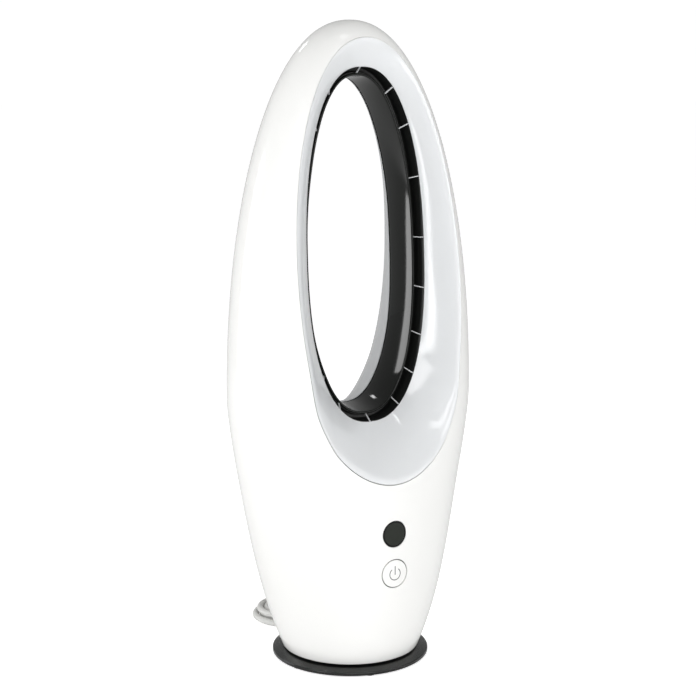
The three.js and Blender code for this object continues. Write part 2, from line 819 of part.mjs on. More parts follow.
// The housing stands on four legs over the tower's floor. Its mouth flares like a bell.
function fanHousing() {
  const flare = range(3).map((i) => {
    const angle = (i / 2) * (Math.PI / 2);
    return [
      housingRadius + inletFlare * (1 - Math.sin(angle)),
      housingBottom + inletFlare * (1 - Math.cos(angle)),
    ];
  });
  const body = turned(
    [
      ...flare,
      [housingRadius, housingTop],
      [flangeRadius, housingTop],
      [flangeRadius, housingTop - flangeThickness],
      [housingOuter, housingTop - flangeThickness],
      [housingOuter, housingBottom + inletFlare],
      ...flare.slice(1, 2).reverse().map(([r, z]) => [r + housingWall * 0.7, z + housingWall * 0.7]),
      [housingRadius + inletFlare, housingBottom + housingWall],
    ],
    28,
  );
  const legs = [-1, 1].flatMap((side) =>
    [legAngle, Math.PI - legAngle].map((angle) => {
      const [x, y] = turnedBy(angle, housingRadius + 4);
      return barZ(legRadius, floorTop + seatGap, housingBottom + inletFlare / 2, side * x, y, 8);
    }),
  );
  return join(body, ...legs);
}

// A thin twisted blade between two radii: rows along its chord, each a closed thin section.
function vane({ innerAt, outer, bottom, top, wrap, thickness, chordSteps, spanSteps = 1 }) {
  const rows = range(chordSteps + 1).map((i) => {
    const chord = i / chordSteps;
    const z = lerp(bottom, top, chord);
    const inner = innerAt(chord);
    const side = (offset) =>
      range(spanSteps + 1).map((j) => {
        const radius = lerp(inner, outer, j / spanSteps);
        const angle = wrap * chord ** 1.25 * lerp(1, 0.72, j / spanSteps) + offset / radius;
        return new THREE.Vector3(radius * Math.cos(angle), radius * Math.sin(angle), z);
      });
    return [...side(-thickness / 2), ...side(thickness / 2).reverse()];
  });
  return skinned(rows);
}

const copyRound = (body, i, count) => solid(geometryOf(body).rotateZ((i / count) * 2 * Math.PI));

function impeller() {
  const bore = shaftRadius + seatGap;
  const hub = turned(
    [
      [bore, impellerBottom],
      [8, impellerBottom],
      [13, impellerBottom + 3],
      [hubRadius - 5, impellerBottom + 16],
      [hubRadius, impellerTop - 4],
      [hubRadius, impellerTop],
      [hubRadius - 2.5, impellerTop],
      [hubRadius - 7.5, impellerTop - 15],
      [8, impellerBottom + 7],
      [8, impellerBottom + 22],
      [bore, impellerBottom + 22],
    ],
    18,
  );
  const blade = vane({
    innerAt: (chord) => lerp(17, hubRadius - 1, chord ** 0.8),
    outer: impellerRadius,
    bottom: impellerBottom + 5,
    top: impellerTop - 1,
    wrap: THREE.MathUtils.degToRad(62),
    thickness: bladeThickness,
    chordSteps: 3,
  });
  return join(hub, ...range(bladeCount).map((i) => copyRound(blade, i, bladeCount)));
}

function impellerNut() {
  const hexagon = new THREE.CylinderGeometry(5.5, 5.5, 4, 6).rotateX(Math.PI / 2);
  const nut = solid(hexagon.translate(0, 0, impellerBottom - seatGap - 2));
  return cut(nut, barZ(shaftRadius + seatGap, 0, impellerBottom, 0, 0, 12));
}

const motorBottom = guideBottom + 3;
const motorTop = motorBottom + motorHeight;
const shaftTop = motorBottom + motorHeight / 2;

const motorShaft = () => barZ(shaftRadius, impellerBottom - 6, shaftTop, 0, 0, 12);

function fanMotor() {
  const bore = shaftRadius + seatGap;
  return turned(
    [
      [bore, motorBottom],
      [motorRadius - 2, motorBottom],
      [motorRadius, motorBottom + 2],
      [motorRadius, motorTop - 2],
      [motorRadius - 2, motorTop],
      [0, motorTop],
      [0, shaftTop + seatGap],
      [bore, shaftTop + seatGap],
    ],
    24,
  );
}

function damper(bottom) {
  const [inner, outer] = [motorRadius + seatGap, cupInner - seatGap];
  const top = bottom + damperHeight;
  return turned([[inner, bottom], [outer, bottom], [outer, top], [inner, top]], 24);
}

// The air guide holds the motor in its middle cup, on vanes that take the swirl out of the air.
function airGuide() {
  const ring = turned(
    [
      [housingRadius, guideBottom],
      [flangeRadius, guideBottom],
      [flangeRadius, guideBottom + flangeThickness],
      [housingOuter, guideBottom + flangeThickness],
      [housingOuter, guideTop],
      [housingRadius, guideTop],
    ],
    28,
  );
  const cup = turned(
    [
      [0, guideTop - 2.2],
      [cupInner - 4, guideTop - 2.2],
      [cupInner, guideTop - 8],
      [cupInner, guideBottom],
      [cupOuter, guideBottom],
      [cupOuter, guideTop - 7],
      [cupOuter - 5, guideTop],
      [0, guideTop],
    ],
    24,
  );
  const blade = vane({
    innerAt: () => cupOuter - 1,
    outer: housingRadius + 1,
    bottom: guideBottom + 4,
    top: guideTop - 9,
    wrap: THREE.MathUtils.degToRad(-26),
    thickness: 1.8,
    chordSteps: 2,
  });
  return join(ring, cup, ...range(vaneCount).map((i) => copyRound(blade, i, vaneCount)));
}

// A plate across the tower keeps the air that is blown up apart from the air that is drawn in.
function plenumPartition() {
  const outline = new THREE.Shape();
  const [wide, deep] = [halfWidth, halfDepth].map((half) => half(partitionBottom, shellWall) - hollowGap);
  outline.absellipse(0, 0, wide, deep, 0, 2 * Math.PI);
  const hole = new THREE.Path();
  hole.absellipse(0, 0, housingOuter + seatGap, housingOuter + seatGap, 0, 2 * Math.PI);
  outline.holes.push(hole);
  const body = plate(outline, partitionBottom, partitionBottom + partitionThickness, 16);
  const room = boardWidth / 2 + 4;
  return cut(body, block([-room, -2 * bodyHalfDepth, 0], [room, -(boardBack - 2), 2 * partitionBottom]));
}

// ---------------------------------------------------------------- controls

const wallInsideAtButton = halfDepth(buttonHeight, shellWall);
const boardFront = wallInsideAtButton - boardStandoff;
const boardBack = boardFront - boardThickness;
const boardBottom = buttonHeight - boardMargin;
const boardTop = displayHeight + boardMargin + 3;
const switchFront = boardFront + 2.2;
const windowFlangeFront = halfDepth(displayHeight, shellWall) - 1.2;

function controlBoard() {
  const board = block([-boardWidth / 2, -boardFront, boardBottom], [boardWidth / 2, -boardBack, boardTop]);
  const socket = block([-9, -boardBack - 0.2, boardBottom + 6], [9, -(boardBack - 6), boardBottom + 13]);
  return join(board, socket);
}

const displayModule = () =>
  block([-12, -(windowFlangeFront - 1.4), displayHeight - 10], [12, -(boardFront + seatGap), displayHeight + 10]);

const tactSwitch = () =>
  block([-3, -switchFront, buttonHeight - 3], [3, -(boardFront + seatGap), buttonHeight + 3]);

// The window fills its hole to just under the shell's surface and is held by a flange behind it.
function displayWindow() {
  const pane = barY(displayRadius, -windowFlangeFront, -2 * bodyHalfDepth, 0, displayHeight);
  const flange = barY(displayRadius + 2, -(windowFlangeFront - 0.8), -windowFlangeFront, 0, displayHeight);
  return join(pane, flange).intersect(egg(0.3));
}

function powerButton() {
  const flangeFront = wallInsideAtButton - 2.2;
  const cap = barY(buttonRadius, -flangeFront, -2 * bodyHalfDepth, 0, buttonHeight);
  const flange = barY(buttonRadius + 1.8, -(flangeFront - 1.4), -flangeFront, 0, buttonHeight);
  const stem = barY(2.5, -(switchFront + buttonTravel + 0.4), -flangeFront, 0, buttonHeight, 12);
  return join(cap, flange, stem).intersect(egg());
}

// ---------------------------------------------------------------- power board

function powerBoard() {
  const top = powerBoardBottom + 1.6;
  const [front, back] = powerBoardY;
  const board = block([-powerBoardHalf, front, powerBoardBottom], [powerBoardHalf, back, top]);
  const transformer = block([-22, front + 5, top - 0.2], [-3, back - 5, top + 15]);
  const capacitor = barZ(6, top - 0.2, top + 17, 8, front + 13, 16);
  const connector = block([17, front + 5, top - 0.2], [25, back - 5, top + 9]);
  return join(board, transformer, capacitor, connector);
}

// ---------------------------------------------------------------- mains cord

const neckRadius = cordDiameter / 2 - 0.05;
const reliefStart = baseRadius + humpReach + 1 + seatGap;
const cordAxis = cordDiameter / 2 + 0.05; // height of a cord that lies on the floor
const cordExit = new THREE.Vector3(
  exitWay.x * (reliefStart + reliefLength),
  exitWay.y * (reliefStart + reliefLength),
  exitHeight,
);

// A tapered relief with grooves, and a neck that sits in the base's bore.
function strainRelief() {
  const rings = 3;
  const profile = [[0, -13], [neckRadius, -13], [neckRadius, 0]];
  for (let i = 0; i < rings; i++) {
    const at = (share) => [
      lerp(reliefRootRadius, reliefTipRadius, (i + share) / rings),
      ((i + share) / rings) * reliefLength,
    ];
    const [high, low] = [at(0.55), at(0.8)];
    profile.push(at(0), high, [low[0] - 0.7, high[1] + 0.4], [low[0] - 0.7, low[1] + 0.4]);
  }
  profile.push([reliefTipRadius, reliefLength], [0, reliefLength]);
  const body = geometryOf(turned(profile, 12)).rotateY(Math.PI / 2);
  return alongExit(solid(body.translate(reliefStart, 0, exitHeight)));
}

const hankAlong = new THREE.Vector2(Math.cos(hankAngle), Math.sin(hankAngle));
const hankNear = new THREE.Vector2(Math.sin(hankAngle), -Math.cos(hankAngle));
const hankSpread = (turn) => hankFold + hankPitch * Math.abs(turn - hankReverse);
const layerHeight = cordDiameter + 0.6;
const tieLift = tieThickness + seatGap;

// A point of the hank after a number of turns. A turn goes round the right fold, back along the far
// run, round the left fold and forward along the near run.
function hankPoint(turn) {
  const part = (turn % 1) * 4;
  const quarter = Math.floor(part);
  const share = part - quarter;
  const onRun = quarter === 1 || quarter === 3;
  const pull = onRun ? Math.sin(Math.PI * share) ** 2 : 0;
  const spread = hankSpread(turn) - hankWaist * pull;
  const bend = Math.PI * share;
  const [along, near] = [
    [hankRun + spread * Math.sin(bend), spread * Math.cos(bend)],
    [hankRun * (1 - share), -spread],
    [-spread * Math.sin(bend), -spread * Math.cos(bend)],
    [hankRun * share, spread],
  ][quarter];
  const climb = smooth(turn, hankReverse - 0.125, hankReverse + 0.125);
  return new THREE.Vector3(
    hankStart.x + hankAlong.x * along + hankNear.x * near,
    hankStart.y + hankAlong.y * along + hankNear.y * near,
    cordAxis + layerHeight * climb + tieLift * pull,
  );
}

// A round tube over a list of points, with flat ends square to the way of its first and last step.
function tube(points, radius, sides) {
  const rows = points.map((point, i) => {
    const ahead = points[Math.min(i + 1, points.length - 1)];
    const behind = points[Math.max(i - 1, 0)];
    const way = ahead.clone().sub(behind).normalize();
    const across = way.clone().cross(new THREE.Vector3(0, 0, 1)).normalize();
    const up = across.clone().cross(way);
    return range(sides).map((j) => {
      const angle = (j / sides) * 2 * Math.PI;
      return point
        .clone()
        .addScaledVector(across, radius * Math.cos(angle))
        .addScaledVector(up, radius * Math.sin(angle));
    });
  });
  return skinned(rows);
}

// The hank's turns have an even number of steps to a turn, and end in a straight diameter.
const hankSteps = Math.ceil(hankTurns * hankStepsPerTurn);
const hankPath = range(hankSteps + 1).map((i) => hankPoint(Math.min(i / hankStepsPerTurn, hankTurns)));
const straightOn = (from, to, length) =>
  to.clone().addScaledVector(to.clone().sub(from).setZ(0).normalize(), length);
const hankEnter = straightOn(hankPath[1], hankPath[0], cordDiameter);
const hankLeave = straightOn(hankPath[hankSteps - 1], hankPath[hankSteps], cordDiameter);
const wholeHank = [hankEnter, ...hankPath, hankLeave];

// The least gap between two stretches of the hank that are at least a third of a turn apart.
function hankGap() {
  const fine = range(hankSteps * 6 + 1).map((i) => hankPoint((i / (hankSteps * 6)) * hankTurns));
  const apart = Math.round((hankStepsPerTurn * 6) / 3);
  let least = Infinity;
  for (let i = 0; i < fine.length; i++) {
    for (let j = i + apart; j < fine.length; j++) {
      least = Math.min(least, fine[i].distanceTo(fine[j]));
    }
  }
  return least - cordDiameter;
}

function pathLength(points) {
  return points.slice(1).reduce((sum, point, i) => sum + point.distanceTo(points[i]), 0);
}

// The free stretch from the relief to the hank, by points chosen by hand along its route.
const reliefEnd = new THREE.Vector3(exitWay.x, exitWay.y, 0);
const hankWay = hankPath[0].clone().sub(hankEnter).setZ(0).normalize();
const tailPath = new THREE.CatmullRomCurve3([
  cordExit.clone().addScaledVector(reliefEnd, seatGap),
  cordExit.clone().addScaledVector(reliefEnd, seatGap + cordDiameter).setZ(exitHeight - 0.15),
  new THREE.Vector3(60.5, 101, 4.1),
  new THREE.Vector3(69.5, 109, cordAxis),
  hankEnter.clone().addScaledVector(hankWay, -cordDiameter - seatGap),
  hankEnter.clone().addScaledVector(hankWay, -seatGap),
]);

const endWay = hankLeave.clone().sub(hankPath[hankSteps]).setZ(0).normalize();
const plugAxis = plugThickness / 2 + 0.05;
const endPath = new THREE.CatmullRomCurve3([
  hankLeave.clone().addScaledVector(endWay, seatGap),
  hankLeave.clone().addScaledVector(endWay, seatGap + cordDiameter),
  hankLeave.clone().addScaledVector(endWay, plugTail - cordDiameter).setZ(plugAxis),
  hankLeave.clone().addScaledVector(endWay, plugTail).setZ(plugAxis),
]);

function freeCord(path, steps) {
  const section = new THREE.Shape(
    range(10).map((i) => {
      const angle = (i / 10) * 2 * Math.PI;
      return new THREE.Vector2(Math.cos(angle), Math.sin(angle)).multiplyScalar(cordDiameter / 2);
    }),
  );
  return solid(new THREE.ExtrudeGeometry(section, { steps, extrudePath: path, bevelEnabled: false }));
}

// The tie is a flat band round all the runs at the hank's waist.
function cordTie() {
  const nearest = Math.max(...range(5).map((i) => (i + 0.875 <= hankTurns ? hankSpread(i + 0.875) : 0)));
  const farthest = Math.max(...range(5).map((i) => (i + 0.375 <= hankTurns ? hankSpread(i + 0.375) : 0)));
  const radius = cordDiameter / 2;
  const [left, right] = [farthest, nearest].map((reach) => reach - hankWaist + radius + 0.6);
  const top = cordAxis + tieLift + layerHeight + radius + seatGap + tieThickness;
  const outline = roundedRectangle(
    -left - tieThickness, 0.05, right + tieThickness, top, radius + tieThickness);
  const inside = roundedRectangle(-left, 0.05 + tieThickness, right, top - tieThickness, radius);
  outline.holes.push(inside);
  const band = new THREE.ExtrudeGeometry(outline, {
    depth: tieWidth,
    bevelEnabled: false,
    curveSegments: 2,
  });
  const middle = hankStart.clone().addScaledVector(hankAlong, hankRun / 2 - tieWidth / 2);
  band.applyMatrix4(new THREE.Matrix4().makeBasis(
    new THREE.Vector3(hankNear.x, hankNear.y, 0),
    new THREE.Vector3(0, 0, 1),
    new THREE.Vector3(-hankAlong.x, -hankAlong.y, 0),
  ));
  const shift = middle.addScaledVector(hankAlong, tieWidth);
  return solid(band.translate(shift.x, shift.y, 0));
}

const plugStart = hankLeave.clone().addScaledVector(endWay, plugTail + seatGap).setZ(plugAxis);
const plugTurn = Math.atan2(endWay.y, endWay.x);
const placedPlug = (geometry) => solid(geometry.rotateZ(plugTurn).translate(plugStart.x, plugStart.y, plugAxis));

// A flat two-pin plug: narrow where the cord comes in, wide at the face with the pins.
function plugBody() {
  const half = plugWidth / 2;
  const outline = new THREE.Shape();
  outline.moveTo(0, -5);
  outline.bezierCurveTo(9, -5, 12, -half, 22, -half);
  outline.lineTo(plugLength - 4, -half);
  outline.lineTo(plugLength, -half + 5);
  outline.lineTo(plugLength, half - 5);
  outline.lineTo(plugLength - 4, half);
  outline.lineTo(22, half);
  outline.bezierCurveTo(12, half, 9, 5, 0, 5);
  const bevel = 1.6;
  const body = new THREE.ExtrudeGeometry(outline, {
    depth: plugThickness - 2 * bevel,
    bevelEnabled: true,
    bevelThickness: bevel,
    bevelSize: bevel,
    bevelOffset: -bevel,
    bevelSegments: 1,
    curveSegments: 6,
  });
  return placedPlug(body.translate(0, 0, -plugThickness / 2 + bevel));
}

function plugPin(side) {
  const pin = new THREE.CapsuleGeometry(pinRadius, pinLength - 2 * pinRadius, 2, 8).rotateZ(Math.PI / 2);
  const start = plugLength + seatGap;
  return placedPlug(pin.translate(start + pinLength / 2, (side * pinSpacing) / 2, 0));
}

// ---------------------------------------------------------------- the assembly

const fan = new THREE.Group();

const base = new THREE.Group();
base.add(piece("base_disc", baseDisc(), satinGrey));
base.add(piece("base_cover", baseCover(), mouldedBlack));
base.add(piece("base_weight", baseWeight(), steel));
for (const i of range(footCount)) base.add(piece(`foot_${i + 1}`, foot(i), rubber));
base.add(piece("slide_ring", slideRing(), acetal));
base.add(piece("turntable_gear", turntableGear(), acetal));
fan.add(base);

const cord = new THREE.Group();
cord.add(piece("strain_relief", strainRelief(), cordWhite));
cord.add(piece("mains_cord", freeCord(tailPath, 12), cordWhite));
cord.add(piece("cord_hank", tube(wholeHank, cordDiameter / 2, 6), cordWhite));
cord.add(piece("cord_end", freeCord(endPath, 6), cordWhite));
cord.add(piece("cord_tie", cordTie(), mouldedBlack));
cord.add(piece("plug_body", plugBody(), cordWhite));
cord.add(piece("plug_pin_1", plugPin(-1), brass));
cord.add(piece("plug_pin_2", plugPin(1), brass));
fan.add(cord);

const tower = new THREE.Group();
tower.add(piece("tower_floor", towerFloor(), whiteMoulding));
tower.add(piece("front_shell", frontShell(), glossWhite));
tower.add(piece("rear_shell", rearShell(), glossWhite));
tower.add(piece("rear_bezel", rearBezel(), glossGrey));
tower.add(piece("intake_grille", intakeGrille(), glossWhite));
tower.add(piece("front_bezel", frontBezel(), glossGrey));
tower.add(piece("inner_duct", innerDuct(), glossBlack));
tower.add(piece("fan_housing", fanHousing(), mouldedBlack));
tower.add(piece("plenum_partition", plenumPartition(), whiteMoulding));
tower.add(piece("air_guide", airGuide(), mouldedBlack));
tower.add(piece("fan_motor", fanMotor(), steel));
tower.add(piece("motor_damper_lower", damper(motorBottom + 3), rubber));
tower.add(piece("motor_damper_upper", damper(motorTop - 3 - damperHeight), rubber));
tower.add(piece("oscillation_motor", oscillationMotor(), steel));
tower.add(piece("power_board", powerBoard(), boardGreen));
tower.add(piece("control_board", controlBoard(), boardGreen));
tower.add(piece("display_module", displayModule(), mouldedBlack));
tower.add(piece("display_window", displayWindow(), windowBlack));
tower.add(piece("tact_switch", tactSwitch(), mouldedBlack));
fan.add(tower);

const spinner = new THREE.Group();
spinner.add(piece("impeller", impeller(), whiteMoulding));
spinner.add(piece("motor_shaft", motorShaft(), steel));
spinner.add(piece("impeller_nut", impellerNut(), brass));
tower.add(spinner);

tower.add(piece("power_button", powerButton(), glossWhite));
tower.add(piece("drive_pinion", drivePinion(), acetal));

console.log(
  `hank: least gap to itself ${hankGap().toFixed(2)} mm, length ${pathLength(wholeHank).toFixed(0)} mm, ` +
    `free stretches ${tailPath.getLength().toFixed(0)} and ${endPath.getLength().toFixed(0)} mm`,
);

export default fan;
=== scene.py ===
# %% [markdown]
# # A bladeless fan
#
# The fan is an egg-shaped tower with a tall oval hole. A dark duct lines the hole, a narrow slot runs
# round the duct, and a light grey bezel rolls from the slot out to the edge of the white shell.
#
# The imported model gives every size and place that matters. This first cell loads it.

# %% Load the frame
import math

import bmesh
import bpy
from mathutils import Matrix, Vector


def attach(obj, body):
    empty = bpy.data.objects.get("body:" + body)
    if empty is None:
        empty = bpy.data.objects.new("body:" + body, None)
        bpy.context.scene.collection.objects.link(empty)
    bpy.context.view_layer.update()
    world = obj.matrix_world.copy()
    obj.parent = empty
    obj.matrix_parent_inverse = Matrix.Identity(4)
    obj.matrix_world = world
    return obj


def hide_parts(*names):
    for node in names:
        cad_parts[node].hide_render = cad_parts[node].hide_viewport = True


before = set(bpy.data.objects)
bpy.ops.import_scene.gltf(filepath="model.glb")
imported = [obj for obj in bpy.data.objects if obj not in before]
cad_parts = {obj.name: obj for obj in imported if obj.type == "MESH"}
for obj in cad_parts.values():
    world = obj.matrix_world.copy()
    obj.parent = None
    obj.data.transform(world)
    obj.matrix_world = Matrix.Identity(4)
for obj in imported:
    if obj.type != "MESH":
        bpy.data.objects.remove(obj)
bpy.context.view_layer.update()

# %% [markdown]
# ## The camera
#
# The photograph was taken from the front left, a little above the middle of the fan. The camera could be
# placed by eye, but its place was worked out from points that can be recognised in the photograph, such
# as the top of the egg, the edge of the base and the ends of the slot.

# %% Place the camera
CAMERA_PLACE = Vector((-0.7407, -1.2664, 0.5581))
CAMERA_LENS = 81.88  # for a film that is 36 mm wide
PITCH_DOWN = math.radians(10.085)
YAW_LEFT = math.radians(0.065)
ROLL = math.radians(-0.075)

bpy.ops.object.camera_add(location=CAMERA_PLACE)
camera = bpy.context.object
camera.name = "camera"
camera.data.lens = CAMERA_LENS
camera.data.sensor_width = 36
heading = math.atan2(-CAMERA_PLACE.y, -CAMERA_PLACE.x) - math.pi / 2 + YAW_LEFT
camera.rotation_mode = "QUATERNION"
turned = Matrix.Rotation(heading, 4, "Z") @ Matrix.Rotation(math.pi / 2 - PITCH_DOWN, 4, "X")
camera.rotation_quaternion = (turned @ Matrix.Rotation(ROLL, 4, "Z")).to_quaternion()
bpy.context.scene.camera = camera
print("camera looks", round(math.degrees(PITCH_DOWN), 1), "degrees down")

# %% [markdown]
# ## The route of the mains cord
#
# A mains cord has a real length, so its route is settled before its looks. It leaves the base at the
# back, runs a short way along the floor and is put away in a hank, tied at the middle. The hank lies
# behind the fan, where the photograph shows the left end of its loops. The route repeats the one in the
# CAD model, in metres: points listed one by one for the free stretches, and a formula for the loops.

# %% The hank's loops
CORD_DIAMETER = 0.0065
HANK_START = Vector((-0.009, 0.1124))  # middle of the left fold
HANK_ANGLE = math.radians(25)
HANK_RUN = 0.0975
HANK_PITCH = 0.0072
HANK_FOLD = 0.0195
HANK_TURNS = 4.153
HANK_REVERSE = 2.375
HANK_WAIST = 0.008
HANK_STEPS = 24  # to a turn
LAYER_HEIGHT = CORD_DIAMETER + 0.0006
TIE_LIFT = 0.0012
CORD_AXIS = CORD_DIAMETER / 2 + 0.00005

hank_along = Vector((math.cos(HANK_ANGLE), math.sin(HANK_ANGLE)))
hank_near = Vector((math.sin(HANK_ANGLE), -math.cos(HANK_ANGLE)))


def smooth_step(value, start, end):
    share = min(1, max(0, (value - start) / (end - start)))
    return share * share * (3 - 2 * share)


def hank_point(turn):
    """Where the cord is after so many turns round the two folds."""
    quarter, share = divmod((turn % 1) * 4, 1)
    pull = math.sin(math.pi * share) ** 2 if quarter in (1, 3) else 0
    spread = HANK_FOLD + HANK_PITCH * abs(turn - HANK_REVERSE) - HANK_WAIST * pull
    bend = math.pi * share
    along, near = {
        0: (HANK_RUN + spread * math.sin(bend), spread * math.cos(bend)),
        1: (HANK_RUN * (1 - share), -spread),
        2: (-spread * math.sin(bend), -spread * math.cos(bend)),
        3: (HANK_RUN * share, spread),
    }[quarter]
    climb = smooth_step(turn, HANK_REVERSE - 0.125, HANK_REVERSE + 0.125)
    flat = HANK_START + hank_along * along + hank_near * near
    return Vector((*flat, CORD_AXIS + LAYER_HEIGHT * climb + TIE_LIFT * pull))


hank_count = math.ceil(HANK_TURNS * HANK_STEPS)
hank_path = [hank_point(min(i / HANK_STEPS, HANK_TURNS)) for i in range(hank_count + 1)]
print("the hank has", len(hank_path), "points")

# %% [markdown]
# Between the base and the hank, and between the hank and the plug, the cord lies free. Both stretches
# leave their ends straight, because a cord doesn't bend where it is held.

# %% The free stretches
EXIT_ANGLE = math.radians(150)  # round from the front, towards +X
EXIT_HEIGHT = 0.0052
BASE_RADIUS = 0.0752
RELIEF_START = BASE_RADIUS + 0.0051
RELIEF_LENGTH = 0.022
SEAT_GAP = 0.0003
PLUG_TAIL = 0.024
PLUG_AXIS = 0.0069

exit_way = Vector((math.sin(EXIT_ANGLE), -math.cos(EXIT_ANGLE), 0))
cord_exit = exit_way * (RELIEF_START + RELIEF_LENGTH) + Vector((0, 0, EXIT_HEIGHT))


def level_way(start, end):
    way = end - start
    way.z = 0
    return way.normalized()


def at_height(point, height):
    return Vector((point.x, point.y, height))


hank_way = level_way(hank_path[0], hank_path[1])
hank_enter = hank_path[0] - hank_way * CORD_DIAMETER
end_way = level_way(hank_path[-2], hank_path[-1])
hank_leave = hank_path[-1] + end_way * CORD_DIAMETER

cord_path = [
    cord_exit + exit_way * SEAT_GAP,
    at_height(cord_exit + exit_way * (SEAT_GAP + CORD_DIAMETER), EXIT_HEIGHT - 0.00015),
    Vector((0.0605, 0.101, 0.0041)),
    Vector((0.0695, 0.109, CORD_AXIS)),
    hank_enter - hank_way * CORD_DIAMETER,
    hank_enter,
    *hank_path,
    hank_leave,
    hank_leave + end_way * CORD_DIAMETER,
    at_height(hank_leave + end_way * (PLUG_TAIL - CORD_DIAMETER), PLUG_AXIS),
    at_height(hank_leave + end_way * PLUG_TAIL, PLUG_AXIS),
]
print("the cord's route has", len(cord_path), "points")

# %% [markdown]
# ## Helpers for modelling
#
# Most of this object is drawn through rings: a ring of edges is extruded, and the new ring is put where
# the form needs it, as a modeller does by hand with extrude, move and scale. The helper below does that
# for any list of rings. Operators act on all that is selected, so everything is deselected first.

# %% Select, draw through rings, finish


def deselect():
    if bpy.context.object and bpy.context.object.mode != "OBJECT":
        bpy.ops.object.mode_set(mode="OBJECT")
    bpy.ops.object.select_all(action="DESELECT")


def only(piece):
    deselect()
    piece.select_set(True)
    bpy.context.view_layer.objects.active = piece
    return piece


def pick(piece, mode, test):
    """In edit mode, selects the vertices, edges or faces that pass a test."""
    bpy.ops.mesh.select_mode(type=mode)
    bpy.ops.mesh.select_all(action="DESELECT")
    mesh = bmesh.from_edit_mesh(piece.data)
    for part in {"VERT": mesh.verts, "EDGE": mesh.edges, "FACE": mesh.faces}[mode]:
        if test(part):
            part.select_set(True)
    bmesh.update_edit_mesh(piece.data)


def drawn(name, rings, closed=False, cap_start=False, cap_end=False):
    """A skin drawn through rings of points. A closed one joins its last ring to its first."""
    deselect()
    count = len(rings[0])
    bpy.ops.mesh.primitive_circle_add(vertices=count, radius=1, fill_type="NOTHING")
    piece = bpy.context.object
    piece.name = piece.data.name = name
    bpy.ops.object.mode_set(mode="EDIT")
    bpy.ops.mesh.select_all(action="SELECT")
    for i, ring in enumerate([*rings, rings[0]] if closed else rings):
        if i:
            bpy.ops.mesh.extrude_edges_move()
        mesh = bmesh.from_edit_mesh(piece.data)
        mesh.verts.ensure_lookup_table()
        for j, point in enumerate(ring):
            mesh.verts[i * count + j].co = point
        bmesh.update_edit_mesh(piece.data)
    if cap_end:
        bpy.ops.mesh.edge_face_add()
    if cap_start:
        pick(piece, "VERT", lambda vertex: vertex.index < count)
        bpy.ops.mesh.edge_face_add()
    bpy.ops.mesh.select_mode(type="VERT")
    bpy.ops.mesh.select_all(action="SELECT")
    bpy.ops.mesh.remove_doubles(threshold=1e-6)
    bpy.ops.mesh.normals_make_consistent(inside=False)
    bpy.ops.object.mode_set(mode="OBJECT")
    return piece


def apply_modifier(piece, kind, **settings):
    only(piece)
    bpy.ops.object.modifier_add(type=kind)
    modifier = piece.modifiers[-1]
    for key, value in settings.items():
        setattr(modifier, key, value)
    bpy.ops.object.modifier_apply(modifier=modifier.name)


def trim(piece, tool, operation="DIFFERENCE"):
    """Cuts a piece with another one, which is used up."""
    apply_modifier(piece, "BOOLEAN", operation=operation, object=tool, solver="EXACT")
    bpy.data.objects.remove(tool)
    return piece


def soften(piece, width, segments=2, degrees=40):
    """Rounds the sharp edges of a piece."""
    apply_modifier(
        piece, "BEVEL", width=width, segments=segments, limit_method="ANGLE",
        angle_limit=math.radians(degrees),
    )
    return piece


def soften_where(piece, test, width, segments=3):
    """Rounds the sharp edges whose middle passes a test."""
    only(piece)
    bpy.ops.object.mode_set(mode="EDIT")
    pick(piece, "EDGE", lambda edge: len(edge.link_faces) == 2
         and edge.calc_face_angle() > math.radians(40)
         and test((edge.verts[0].co + edge.verts[1].co) / 2))
    bpy.ops.mesh.bevel(offset=width, segments=segments, affect="EDGES")
    bpy.ops.object.mode_set(mode="OBJECT")
    return piece


def smooth(piece, degrees=35):
    only(piece)
    bpy.ops.object.shade_smooth_by_angle(angle=math.radians(degrees))
    return piece


def settle(piece):
    """Puts a piece's place into its mesh, so that its object sits at the origin."""
    only(piece)
    bpy.ops.object.transform_apply(location=True, rotation=True, scale=True)
    return piece


def circle_ring(radius, height, count, x=0, y=0):
    """A level ring of points."""
    angles = [2 * math.pi * i / count for i in range(count)]
    return [Vector((x + radius * math.cos(a), y + radius * math.sin(a), height)) for a in angles]


print("helpers ready")

# %% [markdown]
# ## The form of the egg
#
# The tower is one egg. Seen from the front, its upper half is a little fuller than an ellipse and its
# lower half narrows slowly towards the foot. Cut across, it is an oval higher up and round at the foot,
# where it stands on the round base. These few formulas repeat the CAD model's, so every piece that is
# drawn with them lies where the frame says.
#
# The egg is opened at the front and at the back by two leaning planes. The edge that a plane leaves is
# called a rim here. The front rim isn't quite flat: its lower half lies a millimetre back, and its low
# end curls forward.

# %% The egg's half width, half depth and rims
WIDEST_HEIGHT = 0.256
TOWER_TOP = 0.600
TOWER_BOTTOM = 0.0089
HALF_WIDTH = 0.1215
DEPTH_SHARE = 90 / 121.5
CROWN_FULLNESS = 2.175
FLANK_LENGTH = 0.322
FLANK_FULLNESS = 1.29
FLANK_EASE = 0.06  # how gently the flank starts to narrow
SHELL_WALL = 0.0025
RIM_HEIGHT = 0.300
RIM_FORWARD = 0.0664
RIM_LEAN = math.tan(math.radians(7.3))
FLAT_DEPTH = 0.0010
CURL_HEIGHT = 0.218
CURL_LENGTH = 0.034
CURL_DEPTH = 0.0031


